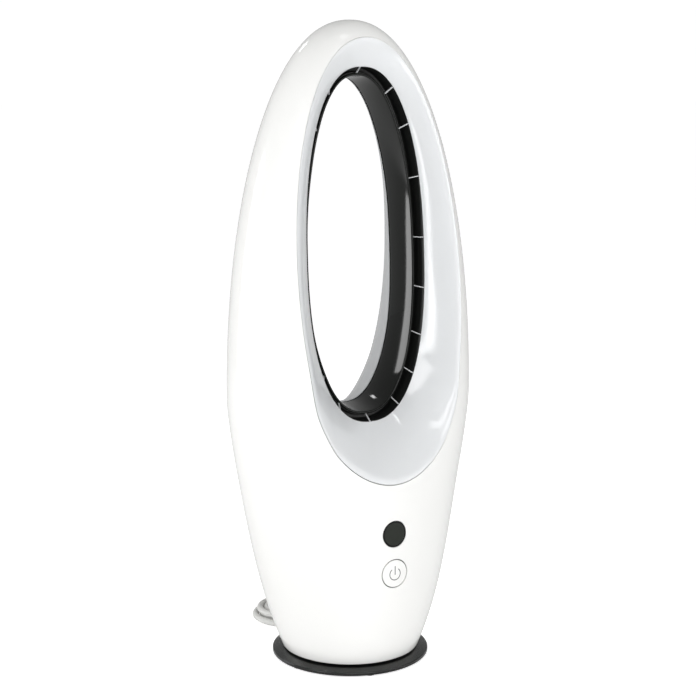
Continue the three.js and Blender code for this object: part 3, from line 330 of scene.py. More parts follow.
def half_width(z, inset=0):
    if z >= WIDEST_HEIGHT:
        rise = min(1, (z - WIDEST_HEIGHT) / (TOWER_TOP - inset - WIDEST_HEIGHT))
        return (HALF_WIDTH - inset) * (1 - rise**2) ** (1 / CROWN_FULLNESS)
    drop = (WIDEST_HEIGHT - z) / FLANK_LENGTH
    eased = drop**2 * (drop**2 + FLANK_EASE**2) ** (FLANK_FULLNESS / 2 - 1)
    return HALF_WIDTH * math.sqrt(1 - eased) - inset


def half_depth(z, inset=0):
    return half_width(z, inset) * (1 + (DEPTH_SHARE - 1) * smooth_step(z, 0.012, 0.184))


def rim_bow(z):
    """How far the front rim leaves its plane: it flattens a little, then curls up at its low end."""
    low = max(0, (CURL_HEIGHT - z) / CURL_LENGTH)
    return CURL_DEPTH * low**1.3 - FLAT_DEPTH * (1 - smooth_step(z, 0.25, 0.30))


def rim_reach(z, side=1):
    return RIM_FORWARD - (z - RIM_HEIGHT) * RIM_LEAN + (rim_bow(z) if side < 0 else 0)


def front_at(x, z, inset=0):
    """How far forward the egg's surface is, at a place on its front."""
    return -half_depth(z, inset) * math.sqrt(max(0, 1 - (x / half_width(z, inset)) ** 2))


print("half width at the foot:", round(half_width(TOWER_BOTTOM), 4))

# %% [markdown]
# The ring round the hole is drawn through ovals. One formula gives the slot's oval, which is narrower at
# its top and leans back as it rises. The duct's ovals follow it from inside, but the duct's front edge
# sits a little deeper beside the middle of the slot, and its floor rises to the back. The last function
# finds where a rim lies in a given direction, by halving the distance again and again.

# %% The oval loops of the ring
SLOT_MIDDLE = 0.396
SLOT_HALF_WIDTH = 0.0625
SLOT_HALF_HEIGHT = 0.162
SLOT_FULLNESS = 2.33
SLOT_TAPER = 0.047
SLOT_LEAN = 0.053
SLOT_FORWARD = 0.0307
SLOT_GAP = 0.008
DUCT_FORWARD = 0.0215
DUCT_BACK = 0.019
SIDE_WIDER = 0.0009
SIDE_DEEPER = 0.0014
SHOULDER = 0.0013  # the slot is this much wider at its shoulders
FLOOR_LIFT = 0.0022  # the duct's floor rises by this to the back
LOOP_STEPS = 192
loop_angles = [2 * math.pi * i / LOOP_STEPS for i in range(LOOP_STEPS)]


def oval_point(angle, inset, forward):
    """A point of the oval that lies this far inside the slot's outer edge."""
    across, up = math.cos(angle), math.sin(angle)
    power = 2 / SLOT_FULLNESS
    x = (SLOT_HALF_WIDTH - inset) * math.copysign(abs(across) ** power, across) * (1 - SLOT_TAPER * up)
    z = SLOT_MIDDLE + (SLOT_HALF_HEIGHT - inset) * math.copysign(abs(up) ** power, up)
    return Vector((x, -(forward - SLOT_LEAN * (z - SLOT_MIDDLE)), z))


def duct_point(angle, inset, forward):
    """An oval point of the duct, whose front edge sits deeper beside the middle of the slot."""
    rise = math.degrees(math.asin(math.sin(angle)))
    deep = 1 - smooth_step(abs(rise + 12), 12, 38)
    front = min(1, max(0, (forward + DUCT_BACK) / (DUCT_FORWARD + DUCT_BACK)))
    share = min(1, max(0, inset / SLOT_GAP))
    shoulder = SHOULDER * (1 - smooth_step(abs(rise - 50), 5, 38)) * share
    lift = FLOOR_LIFT * smooth_step(-rise, 20, 62) * (1 - front) * share
    return oval_point(angle, inset - SIDE_WIDER * deep * front * share + shoulder + lift,
                      forward - SIDE_DEEPER * deep * front * share)


def duct_loops(section):
    """A loop round the hole for each (inset, forward) of a section."""
    return [[duct_point(a, inset, forward) for a in loop_angles] for inset, forward in section]


def rim_point(angle, inset, side):
    """The point of a rim in the same direction, this far inside the egg's surface."""
    way = Vector((math.cos(angle) * SLOT_HALF_WIDTH, 0, math.sin(angle) * SLOT_HALF_HEIGHT))
    near, far = 0, 4
    for _ in range(40):
        share = (near + far) / 2
        x, z = way.x * share, SLOT_MIDDLE + way.z * share
        inside = z < TOWER_TOP - inset - 1e-6 and (
            (x / half_width(z, inset)) ** 2 + (rim_reach(z, side) / half_depth(z, inset)) ** 2 < 1
        )
        near, far = (share, far) if inside else (near, share)
    z = SLOT_MIDDLE + way.z * near
    return Vector((way.x * near, side * rim_reach(z, side), z))


print("the front rim's top is at", round(rim_point(math.pi / 2, 0, -1).z, 4))

# %% [markdown]
# ## The finishes
#
# Nearly everything here is moulded plastic. A plain colour looks like a drawing, because a real moulding
# has a slightly uneven gloss, a faint drift in its colour and a surface that isn't quite flat. Those three
# are one node group, which every finish places with its own values. The group reads Object coordinates,
# so the pattern stays on the piece when it turns.

# %% The group that all mouldings share


def new_group(name, inputs, outputs):
    """A node group with named sockets, and its input and output nodes."""
    tree = bpy.data.node_groups.new(name, "ShaderNodeTree")
    for label, kind in inputs.items():
        tree.interface.new_socket(label, in_out="INPUT", socket_type=kind)
    for label, kind in outputs.items():
        tree.interface.new_socket(label, in_out="OUTPUT", socket_type=kind)
    return tree, tree.nodes.new("NodeGroupInput"), tree.nodes.new("NodeGroupOutput")


def add_node(tree, kind, settings=None, **links):
    """Adds a node. A link is an output socket, and any other value is set on the input's socket."""
    node = tree.nodes.new(kind)
    for key, value in (settings or {}).items():
        setattr(node, key, value)
    for key, value in links.items():
        label = key.replace("_", " ")
        socket = node.inputs[int(key[1:])] if key[1:].isdigit() else node.inputs[label]
        if isinstance(value, bpy.types.NodeSocket):
            tree.links.new(value, socket)
        else:
            socket.default_value = value
    return node


FLOAT, COLOUR, VECTOR = "NodeSocketFloat", "NodeSocketColor", "NodeSocketVector"
moulded, given, result = new_group(
    "moulded surface",
    {"Colour": COLOUR, "Drift": FLOAT, "Roughness": FLOAT, "Smear": FLOAT, "Grain": FLOAT, "Relief": FLOAT},
    {"Colour": COLOUR, "Roughness": FLOAT, "Normal": VECTOR},
)
place = add_node(moulded, "ShaderNodeTexCoord").outputs["Object"]
broad = add_node(moulded, "ShaderNodeTexNoise", Vector=place, Scale=9.0, Detail=2.0).outputs["Fac"]
flow = add_node(moulded, "ShaderNodeTexNoise", Vector=place, Scale=45.0, Detail=4.0,
                Roughness=0.6, Distortion=0.6).outputs["Fac"]
grain = add_node(moulded, "ShaderNodeTexNoise", Vector=place, Scale=given.outputs["Grain"],
                 Detail=2.0).outputs["Fac"]


def math_node(tree, operation, first, second):
    return add_node(tree, "ShaderNodeMath", {"operation": operation}, _0=first, _1=second).outputs[0]


def centred(tree, value, amount):
    """A value from 0 to 1 turned into one that swings about 0 by an amount."""
    return math_node(tree, "MULTIPLY", math_node(tree, "SUBTRACT", value, 0.5), amount)


drift = centred(moulded, broad, given.outputs["Drift"])
shade = math_node(moulded, "ADD", drift, 1.0)
tinted = add_node(moulded, "ShaderNodeVectorMath", {"operation": "SCALE"}, _0=given.outputs["Colour"],
                  Scale=shade).outputs[0]
uneven = math_node(moulded, "ADD", given.outputs["Roughness"],
                   centred(moulded, flow, given.outputs["Smear"]))
bump = add_node(moulded, "ShaderNodeBump", Strength=1.0, Distance=given.outputs["Relief"], Height=grain)
moulded.links.new(tinted, result.inputs["Colour"])
moulded.links.new(uneven, result.inputs["Roughness"])
moulded.links.new(bump.outputs["Normal"], result.inputs["Normal"])
print("group", moulded.name, "has", len(moulded.nodes), "nodes")

# %% [markdown]
# With the group in place a finish is one line: its colour, its gloss, and how strong the drift, smear and
# relief are. The shell and the duct are the glossiest, and rubber hardly shines.

# %% Finishes made with it


def new_finish(name, **shader_values):
    """A material with a Principled shader, whose plain values are set on its own sockets."""
    material = bpy.data.materials.new(name)
    material.use_nodes = True
    shader = material.node_tree.nodes["Principled BSDF"]
    for key, value in shader_values.items():
        shader.inputs[key.replace("_", " ")].default_value = value
    return material, shader


def moulding(name, colour, roughness, drift=0.02, smear=0.06, grain=400.0, relief=0.00001, **more):
    """A plastic finish."""
    material, shader = new_finish(name, **more)
    tree = material.node_tree
    surface = add_node(tree, "ShaderNodeGroup", {"node_tree": moulded}, Colour=(*colour, 1), Drift=drift,
                       Roughness=roughness, Smear=smear, Grain=grain, Relief=relief)
    tree.links.new(surface.outputs["Colour"], shader.inputs["Base Color"])
    tree.links.new(surface.outputs["Roughness"], shader.inputs["Roughness"])
    tree.links.new(surface.outputs["Normal"], shader.inputs["Normal"])
    material.diffuse_color = (*colour, 1)
    return material


shell_white = moulding("shell_white", (0.83, 0.83, 0.815), 0.13, 0.01, 0.04, 300.0, 0.000004)
bezel_grey = moulding("bezel_grey", (0.655, 0.668, 0.678), 0.11, 0.01, 0.04, 260.0, 0.000004)
duct_black = moulding("duct_black", (0.005, 0.006, 0.005), 0.08, 0.05, 0.04, 260.0, 0.000004,
                      Specular_IOR_Level=0.22)
throat_black = moulding("throat_black", (0.004, 0.0045, 0.004), 0.5, 0.1, 0.1, 900.0, 0.00002)
moulded_black = moulding("moulded_black", (0.012, 0.012, 0.013), 0.5, 0.08, 0.1, 1500.0, 0.00003)
rubber_black = moulding("rubber_black", (0.01, 0.01, 0.01), 0.8, 0.1, 0.1, 1200.0, 0.00005)
acetal_white = moulding("acetal_white", (0.72, 0.71, 0.66), 0.38, 0.02, 0.08, 700.0, 0.00001)
moulded_white = moulding("moulded_white", (0.7, 0.7, 0.67), 0.45, 0.02, 0.08, 900.0, 0.00002)
steel = moulding("steel", (0.45, 0.46, 0.47), 0.32, 0.06, 0.14, 2400.0, 0.00001, Metallic=1.0)
brass = moulding("brass", (0.62, 0.46, 0.2), 0.28, 0.05, 0.12, 1800.0, 0.000008, Metallic=1.0)
board_green = moulding("board_green", (0.012, 0.07, 0.035), 0.45, 0.15, 0.1, 800.0, 0.00002)
cord_white = moulding("cord_white", (0.68, 0.68, 0.66), 0.38, 0.03, 0.1, 1600.0, 0.00002)
print("finishes:", len(bpy.data.materials))

# %% [markdown]
# The pieces inside the fan keep their CAD shape, because they are hardly seen. Each still gets the finish
# of what it is made of: steel, brass, rubber, circuit board or moulded plastic.

# %% Give every CAD node that stays its finish
FINISH_OF = {
    "tower_floor": moulded_white, "plenum_partition": moulded_white, "impeller": moulded_white,
    "fan_housing": moulded_black, "air_guide": moulded_black, "display_module": moulded_black,
    "tact_switch": moulded_black, "base_cover": moulded_black, "base_weight": steel,
    "fan_motor": steel, "oscillation_motor": steel, "motor_shaft": steel, "impeller_nut": brass,
    "motor_damper_lower": rubber_black, "motor_damper_upper": rubber_black,
    "power_board": board_green, "control_board": board_green,
    "slide_ring": acetal_white, "turntable_gear": acetal_white, "drive_pinion": acetal_white,
}


def dress(piece, finish):
    piece.data.materials.clear()
    piece.data.materials.append(finish)
    return piece


for name, finish in FINISH_OF.items():
    dress(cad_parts[name], finish)
print("dressed", len(FINISH_OF), "nodes of the frame")


def seat(piece, body, finish, slot, *nodes):
    """Dresses a finished piece, makes it ride on its body and stand for its CAD nodes."""
    dress(piece, finish)
    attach(piece, body)
    if nodes:
        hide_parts(*nodes)
    print(piece.name, "has", len(piece.data.polygons), "faces")
    return piece


# %% [markdown]
# ## The two shells
#
# The white body is two mouldings, a front shell and a rear shell, that meet at a seam behind the middle.
# A sphere could be scaled and pushed into an egg, but the form has to follow the frame exactly, so the
# egg is drawn ring by ring from the foot to the crown. Two leaning planes then open its front and back,
# and the seam splits it along edges that are already there.

# %% Draw the egg
EGG_STEPS = 240
DISPLAY_HEIGHT = 0.1365
BUTTON_HEIGHT = 0.099
HOLE_BLOCK = 0.018  # half the height of the block of faces round a hole
egg_angles = [2 * math.pi * i / EGG_STEPS for i in range(EGG_STEPS)]


def spaced(start, end, count):
    return [start + (end - start) * i / count for i in range(count)]


ring_heights = [
    TOWER_BOTTOM,
    *spaced(0.0125, BUTTON_HEIGHT - HOLE_BLOCK, 15),
    *spaced(BUTTON_HEIGHT - HOLE_BLOCK, BUTTON_HEIGHT + HOLE_BLOCK, 12),
    BUTTON_HEIGHT + HOLE_BLOCK,
    *spaced(DISPLAY_HEIGHT - HOLE_BLOCK, DISPLAY_HEIGHT + HOLE_BLOCK, 12),
    *spaced(DISPLAY_HEIGHT + HOLE_BLOCK, WIDEST_HEIGHT, 18),
    *[WIDEST_HEIGHT + (TOWER_TOP - WIDEST_HEIGHT) * math.sin(math.pi / 2 * i / 56) for i in range(57)],
]
ring_heights[-1] = TOWER_TOP


def egg_ring(z):
    return [Vector((half_width(z) * math.cos(a), half_depth(z) * math.sin(a), z)) for a in egg_angles]


egg = drawn("egg", [egg_ring(z) for z in ring_heights])
print("the egg has", len(egg.data.vertices), "vertices")

# %% [markdown]
# The display and the button sit in round holes. A Boolean cut would leave long thin faces round a hole,
# and a glossy surface shows them. So a block of faces is taken out instead, and rings of vertices run
# from its edge in to the round hole, each one put back on the egg's surface.

# %% Round holes in the front
DISPLAY_HOLE = 0.0126
BUTTON_HOLE = 0.0138
HOLE_ROWS = ((DISPLAY_HEIGHT, DISPLAY_HOLE), (BUTTON_HEIGHT, BUTTON_HOLE))
HOLE_REACH = 7.2 * 2 * math.pi / EGG_STEPS  # half the block's width, as an angle
PATCH_STEPS = 6


def in_block(face, height):
    middle = face.calc_center_median()
    round_angle = math.atan2(middle.x, -middle.y * half_width(middle.z) / half_depth(middle.z))
    return abs(round_angle) < HOLE_REACH and abs(middle.z - height) < HOLE_BLOCK


def at_place(vertex):
    return tuple(round(value, 7) for value in vertex.co)


def open_round_hole(piece, height, radius):
    """Takes a block of faces out, and draws rings from its edge in to a round hole."""
    only(piece)
    bpy.ops.object.mode_set(mode="EDIT")
    pick(piece, "FACE", lambda face: in_block(face, height))
    bpy.ops.mesh.delete(type="FACE")
    pick(piece, "EDGE", lambda edge: edge.is_boundary
         and abs((edge.verts[0].co.z + edge.verts[1].co.z) / 2 - height) < HOLE_BLOCK + 0.0005
         and abs((edge.verts[0].co.x + edge.verts[1].co.x) / 2) < 0.03
         and edge.verts[0].co.y < 0)
    mesh = bmesh.from_edit_mesh(piece.data)
    corner_at = {at_place(vertex): vertex.co.copy() for vertex in mesh.verts if vertex.select}
    for step in range(1, PATCH_STEPS + 1):
        bpy.ops.mesh.extrude_edges_move()  # the new ring lies on the last one until it is moved
        mesh = bmesh.from_edit_mesh(piece.data)
        moved = {}
        for vertex in [vertex for vertex in mesh.verts if vertex.select]:
            corner = corner_at[at_place(vertex)]
            bearing = math.atan2(corner.z - height, corner.x)
            share = step / PATCH_STEPS
            x = corner.x + (radius * math.cos(bearing) - corner.x) * share
            z = corner.z + (height + radius * math.sin(bearing) - corner.z) * share
            vertex.co = (x, front_at(x, z), z)
            moved[at_place(vertex)] = corner
        corner_at = moved
        bmesh.update_edit_mesh(piece.data)
    bpy.ops.mesh.select_all(action="SELECT")
    bpy.ops.mesh.normals_make_consistent(inside=False)
    bpy.ops.object.mode_set(mode="OBJECT")


for height, radius in HOLE_ROWS:
    open_round_hole(egg, height, radius)
print("with its two holes the egg has", len(egg.data.polygons), "faces")

# %% [markdown]
# A plane cuts the egg open at each rim. Bisect cuts along a flat plane only, so the front rim's bow is
# first taken out of the vertices, and put back after the cut. The wall comes next: Solidify gives it an
# even thickness inwards, and the edges at the seam, the foot and the two holes are rounded.

# %% Open the egg at its rims
RIM_SET_BACK = 0.00030  # the bezel's thin edge lies on the shell's edge


def open_at_rim(piece, side, set_back):
    """Cuts away what lies past a rim. The bow is taken out, the plane cuts, and the bow is put back."""
    bow = rim_bow if side < 0 else lambda z: 0
    for vertex in piece.data.vertices:
        vertex.co.y += bow(vertex.co.z)
    only(piece)
    bpy.ops.object.mode_set(mode="EDIT")
    bpy.ops.mesh.select_all(action="SELECT")
    bpy.ops.mesh.bisect(
        plane_co=(0, side * (RIM_FORWARD - set_back), RIM_HEIGHT), plane_no=(0, side, RIM_LEAN),
        clear_outer=True, threshold=1e-6,
    )
    bpy.ops.mesh.select_mode(type="VERT")
    bpy.ops.mesh.select_all(action="SELECT")
    bpy.ops.mesh.remove_doubles(threshold=0.00008)
    bpy.ops.object.mode_set(mode="OBJECT")
    for vertex in piece.data.vertices:
        vertex.co.y -= bow(vertex.co.z)


for side in (-1, 1):
    open_at_rim(egg, side, RIM_SET_BACK)
print("opened, the egg has", len(egg.data.polygons), "faces")

# %% Split it at the seam and give it a wall
SEAM_SHARE = 0.5  # of the half depth, behind the axis
SEAM_ROUND = 0.00035


def behind_seam(point):
    return point.y > SEAM_SHARE * half_depth(min(point.z, TOWER_TOP - 1e-5))


only(egg)
bpy.ops.object.mode_set(mode="EDIT")
pick(egg, "FACE", lambda face: behind_seam(face.calc_center_median()))
bpy.ops.mesh.separate(type="SELECTED")
bpy.ops.object.mode_set(mode="OBJECT")
front_shell = egg
rear_shell = next(piece for piece in bpy.context.selected_objects if piece != egg)
for piece, name in ((front_shell, "front_shell"), (rear_shell, "rear_shell")):
    piece.name = piece.data.name = name + "_skin"
    apply_modifier(piece, "SOLIDIFY", thickness=SHELL_WALL, offset=-1)


def on_skin(point, slack=0.0002):
    """True on the outer surface of the egg."""
    z = min(max(point.z, TOWER_BOTTOM), TOWER_TOP - 1e-5)
    return (point.x / half_width(z)) ** 2 + (point.y / half_depth(z)) ** 2 > (1 - slack / half_depth(z)) ** 2


def by_seam_or_foot(point):
    z = min(point.z, TOWER_TOP - 1e-5)
    at_seam = abs(point.y - SEAM_SHARE * half_depth(z)) < 0.0012
    return on_skin(point) and (at_seam or point.z < TOWER_BOTTOM + 0.0001)


def by_hole(point):
    return on_skin(point) and point.y < 0 and any(
        abs(math.hypot(point.x, point.z - height) - radius) < 0.0004 for height, radius in HOLE_ROWS)


soften_where(front_shell, lambda point: by_seam_or_foot(point) or by_hole(point), SEAM_ROUND)
soften_where(rear_shell, by_seam_or_foot, SEAM_ROUND)
print("walls:", len(front_shell.data.polygons), "and", len(rear_shell.data.polygons), "faces")

# %% [markdown]
# ## The air intake
#
# Air goes in at the back through a panel with a row of tall slots. The panel is cut from the same egg, so
# its surface runs on from the shell's. A rounded block is the tool for both cuts: it opens the shell, and
# a slightly smaller one keeps the panel.

# %% A rounded block, and the opening in the rear shell
GRILLE_HALF_WIDTH = 0.056
GRILLE_BOTTOM = 0.038
GRILLE_TOP = 0.112
GRILLE_CORNER = 0.012
GRILLE_SLOTS = 12
GRILLE_SLOT_WIDTH = 0.0034
GRILLE_MARGIN = 0.006


def oblong(left, right, low, high, corner, steps):
    """The outline of an oblong with round corners, as flat points."""
    outline = []
    for x, z, start in ((right - corner, high - corner, 0), (left + corner, high - corner, 1),
                        (left + corner, low + corner, 2), (right - corner, low + corner, 3)):
        for i in range(steps + 1):
            a = math.pi / 2 * (start + i / steps)
            outline.append((x + corner * math.cos(a), z + corner * math.sin(a)))
    return outline


def rounded_block(name, left, right, bottom, top, corner, front, back, corner_steps=10):
    """A block with a rounded upright outline, that runs from front to back along Y."""
    outline = oblong(left, right, bottom, top, corner, corner_steps)
    rings = [[Vector((x, y, z)) for x, z in outline] for y in (front, back)]
    return drawn(name, rings, cap_start=True, cap_end=True)


def grille_block(gap):
    return rounded_block("grille_tool", -GRILLE_HALF_WIDTH - gap, GRILLE_HALF_WIDTH + gap,
                         GRILLE_BOTTOM - gap, GRILLE_TOP + gap, GRILLE_CORNER + gap, 0.02, 0.14)


trim(rear_shell, grille_block(SEAT_GAP))
soften_where(rear_shell, lambda point: on_skin(point) and GRILLE_BOTTOM - 0.001 < point.z
             < GRILLE_TOP + 0.001 and abs(point.x) < GRILLE_HALF_WIDTH + 0.001
             and point.y > 0, 0.0003, 2)
seat(smooth(front_shell), "tower", shell_white, "shell_white", "front_shell")
seat(smooth(rear_shell), "tower", shell_white, "shell_white", "rear_shell")

# %% [markdown]
# The panel itself is a band of the egg's wall, cut to the opening's outline. The same kind of block cuts
# every slot, shorter where the panel's corners are round.

# %% The intake panel
panel_heights = spaced(0.030, 0.1195, 30)
panel_angles = [math.radians(20 + 140 * i / 140) for i in range(141)]
PANEL_INSET = 0.0001


def panel_ring(z, inset):
    wide, deep = half_width(z, inset), half_depth(z, inset)
    return [Vector((wide * math.cos(a), deep * math.sin(a), z)) for a in panel_angles]


def panel_skin():
    """A closed band of the egg's wall at its back."""
    rings = []
    for z in panel_heights:
        rings.append(panel_ring(z, PANEL_INSET) + panel_ring(z, PANEL_INSET + SHELL_WALL)[::-1])
    return drawn("intake_panel", rings, cap_start=True, cap_end=True)


intake_panel = trim(panel_skin(), grille_block(0), "INTERSECT")
slot_pitch = 2 * (GRILLE_HALF_WIDTH - GRILLE_MARGIN) / (GRILLE_SLOTS - 0.5)
for i in range(GRILLE_SLOTS):
    x = (i - (GRILLE_SLOTS - 1) / 2) * slot_pitch
    short = GRILLE_CORNER / 2 if abs(x) > GRILLE_HALF_WIDTH - GRILLE_CORNER else 0
    half = GRILLE_SLOT_WIDTH / 2
    tool = rounded_block("slot_tool", x - half, x + half, GRILLE_BOTTOM + GRILLE_MARGIN + short,
                         GRILLE_TOP - GRILLE_MARGIN - short, half - 1e-5, 0.02, 0.14, 6)
    trim(intake_panel, tool)
soften_where(intake_panel, lambda point: on_skin(point, 0.0004), 0.00025, 2)
seat(smooth(intake_panel), "tower", shell_white, "shell_white", "intake_grille")

# %% [markdown]
# ## The front bezel
#
# The bezel is the hardest surface of the fan. It starts at the slot's edge, runs forward and then rolls
# out to the rim, and its section changes all the way round. It is drawn as a bundle of loops: each loop
# lies between the slot's oval and the rim, by shares that a curve gives. The back of the wall is found by
# stepping off the surface, and gets thin where the bezel's edge lies on the shell's edge.

# %% Loops between an oval and a rim
BEZEL_STEPS = 30
BEZEL_WALL = 0.0018
EDGE_WALL = 0.0003
EDGE_INSET = 0.00002
LIP_RADIUS = 0.0009


def bezier(points, v):
    """A point of a curve with four handles, each a pair of shares."""
    weights = ((1 - v) ** 3, 3 * (1 - v) ** 2 * v, 3 * (1 - v) * v**2, v**3)
    return [sum(w * point[i] for w, point in zip(weights, points)) for i in (0, 1)]


def funnel_point(inner, outer, bend, v):
    across, out = bezier(bend, v)
    return Vector((inner.x + (outer.x - inner.x) * across,
                   inner.y + (outer.y - inner.y) * out,
                   inner.z + (outer.z - inner.z) * across))


def funnel_loops(inner_of, outer_of, bend_at, side, wall_of):
    """Loops of the visible skin, and of the back of its wall."""
    inners, outers = [inner_of(a) for a in loop_angles], [outer_of(a) for a in loop_angles]
    skin = [[funnel_point(i, o, bend_at(i.z), k / BEZEL_STEPS) for i, o in zip(inners, outers)]
            for k in range(BEZEL_STEPS + 1)]
    back = []
    for k in range(BEZEL_STEPS + 1):
        ring = []
        for j, point in enumerate(skin[k]):
            along = skin[k][(j + 1) % LOOP_STEPS] - skin[k][j - 1]
            across = skin[min(k + 1, BEZEL_STEPS)][j] - skin[max(k - 1, 0)][j]
            normal = along.cross(across).normalized()
            inward = Vector((point.x, 0, point.z - SLOT_MIDDLE)).normalized() + Vector((0, -side, 0))
            if normal.dot(inward) < 0:
                normal.negate()
            ring.append(point + normal * wall_of(k / BEZEL_STEPS))
        back.append(ring)
    return skin, back


def bezel_wall(v):
    return EDGE_WALL + (BEZEL_WALL - EDGE_WALL) * (1 - smooth_step(v, 0.86, 0.93))


def front_bend(z):
    """The bezel's curve, which opens more gently beside the lower half of the slot."""
    high = min(1, max(0, (z - 0.33) / 0.17))
    return ((0, 0), (0.31 - 0.18 * high, 0.40), (0.80 - 0.10 * high, 0.97), (1, 1))


skin, back = funnel_loops(
    lambda a: oval_point(a, 0, SLOT_FORWARD),
    lambda a: rim_point(a, EDGE_INSET, -1),
    front_bend, -1, bezel_wall,
)
lip = []
for k in range(1, 7):
    turn = math.pi / 2 * k / 6
    lip.append([oval_point(a, -LIP_RADIUS * (1 - math.cos(turn)), SLOT_FORWARD - LIP_RADIUS * math.sin(turn))
                for a in loop_angles])
front_bezel = drawn("front_bezel_skin", [*reversed(lip), *skin, *reversed(back)], closed=True)
print("the bezel has", len(front_bezel.data.polygons), "faces")

# %% [markdown]
# Thin ribs cross the slot and hold its two sides apart. One rib is a thin blade that slopes from the
# bezel's lip back to the duct's edge. It is modelled once as a cube whose ends are moved, and then copied
# to each place round the slot.

# %% Ribs across the slot
RIB_ANGLES = (60, 39.5, 19, 1, -12, -28.5, -45.5, -65)  # degrees up the right side of the slot
RIB_THICKNESS = 0.0008
RIB_HEIGHT = 0.0026


def rib_at(angle):
    """A blade from the bezel's lip to the duct's wall, in the direction of an angle."""
    start = oval_point(angle, -0.0008, SLOT_FORWARD - 0.0008)
    end = duct_point(angle, SLOT_GAP - 0.002, DUCT_FORWARD - 0.0004)
    way = (end - start).normalized()
    side = way.cross(Vector((0, 1, 0))).normalized() * (RIB_THICKNESS / 2)
    deselect()
    bpy.ops.mesh.primitive_cube_add(size=1)
    rib = bpy.context.object
    for vertex in rib.data.vertices:
        corner = start if vertex.co.x < 0 else end
        depth = Vector((0, RIB_HEIGHT if vertex.co.y > 0 else 0, 0))
        vertex.co = corner + depth + side * (1 if vertex.co.z > 0 else -1)
    only(rib)
    bpy.ops.object.mode_set(mode="EDIT")
    bpy.ops.mesh.select_all(action="SELECT")
    bpy.ops.mesh.normals_make_consistent(inside=False)
    bpy.ops.object.mode_set(mode="OBJECT")
    return soften(rib, 0.0002)


both_sides = [angle for right in RIB_ANGLES for angle in (right, 180 - right)]
ribs = [rib_at(math.radians(angle)) for angle in (90, *both_sides, -90)]
only(front_bezel)
for rib in ribs:
    rib.select_set(True)
bpy.ops.object.join()
seat(smooth(front_bezel), "tower", bezel_grey, "bezel_grey", "front_bezel")

# %% [markdown]
# Behind the lip, the slot is a deep black channel that the blown air comes out of. It is a third closed
# ring, U-shaped in section, so that no light leaks in from behind.

# %% The slot's throat
throat_section = [  # inset from the slot's edge, forward
    (-0.0004, 0.0297), (-0.0008, 0.0290), (-0.0010, 0.0150), (-0.0006, 0.0128), (0.0004, 0.0120),
    (0.0042, 0.0120), (0.0052, 0.0126), (0.0056, 0.0140), (0.0057, 0.0190), (0.0051, 0.0190),
    (0.0050, 0.0144), (0.0044, 0.0132), (0.0036, 0.0128), (0.0010, 0.0128), (0.0002, 0.0134),
    (-0.0002, 0.0152),
]
slot_throat = drawn("slot_throat", duct_loops(throat_section), closed=True)
seat(smooth(slot_throat, 60), "tower", throat_black, "duct_black")

# %% [markdown]
# ## The duct
#
# A dark glossy duct lines the hole. Its wall bows in slightly half way through, its front edge is a round
# bead that catches the light, and near its back edge there is a fine step where it meets the back bezel.

# %% The dark duct
DUCT_WAIST = 0.0012
DUCT_BEAD = 0.0011
STEP_RISE = 0.0008


def duct_inset(share):
    step = STEP_RISE * smooth_step(share, 0.885, 0.905)
    return SLOT_GAP + 4 * DUCT_WAIST * share * (1 - share) - step


duct_section = []
bead_middle = DUCT_FORWARD - 0.0005
for k in range(9):  # round the bead, from the slot's side to the hole's side
    turn = math.pi * k / 8
    duct_section.append((SLOT_GAP - DUCT_BEAD - DUCT_BEAD * math.cos(turn),
                         bead_middle + DUCT_BEAD * math.sin(turn)))
for share in (0.06, 0.12, 0.2, 0.3, 0.4, 0.5, 0.6, 0.7, 0.8, 0.86, 0.88, 0.885, 0.89, 0.895, 0.9, 0.905, 0.91,
              0.95, 0.99):
    duct_section.append((duct_inset(share), bead_middle + (-DUCT_BACK - bead_middle) * share))
duct_section += [(SLOT_GAP - 0.0004, -DUCT_BACK), (SLOT_GAP - 0.0020, -DUCT_BACK),
                 (SLOT_GAP - 0.0022, -DUCT_BACK + 0.0003), (SLOT_GAP - 0.0022, 0.0)]
inner_duct = drawn("inner_duct_skin", duct_loops(duct_section), closed=True)
seat(smooth(inner_duct), "tower", duct_black, "duct_black", "inner_duct")

# %% [markdown]
# ## The back bezel
#
# At the back, a light grey lip rolls from the duct out to the back rim. It is drawn like the front bezel,
# with another curve.

# %% The back bezel
REAR_BEND = ((0, 0), (0, 0.3), (0.4, 0.95), (1, 1))
skin, back = funnel_loops(
    lambda a: duct_point(a, SLOT_GAP, -DUCT_BACK - 0.0003),
    lambda a: rim_point(a, EDGE_INSET, 1),
    lambda z: REAR_BEND, 1, bezel_wall,
)
rear_bezel = drawn("rear_bezel_skin", [*skin, *reversed(back)], closed=True)
seat(smooth(rear_bezel), "tower", bezel_grey, "bezel_grey", "rear_bezel")

# %% [markdown]
# ## The display
#
# The round display is a dark pane that follows the shell, with a black border printed behind it. The pane
# is drawn by rings from its middle to its edge, which is slightly rounded. The border is painted by how
# far a point lies from the middle of the pane, on Object coordinates.

# %% A round piece that follows the egg
BUTTON_STEPS = 96


def circle_on_egg(radius, height, back):
    """A round loop on the egg's front, this far behind its surface."""
    points = []
    for i in range(BUTTON_STEPS):
        a = 2 * math.pi * i / BUTTON_STEPS
        x, z = radius * math.cos(a), height + radius * math.sin(a)
        points.append(Vector((x, front_at(x, z) + back, z)))
    return points


def crowned_disc(name, height, radius, edge, depth, inset, rings=8):
    """A disc on the egg's front: its face follows the egg, with a rounded edge and a flat back."""
    loops = [circle_on_egg(max(1e-7, (radius - edge) * k / rings), height, inset) for k in range(rings + 1)]
    for k in range(1, 6):
        turn = math.pi / 2 * k / 5
        loops.append(circle_on_egg(radius - edge + edge * math.sin(turn), height,
                                   inset + edge * (1 - math.cos(turn))))
    loops += [circle_on_egg(radius, height, inset + depth), circle_on_egg(1e-7, height, inset + depth)]
    return drawn(name, loops)


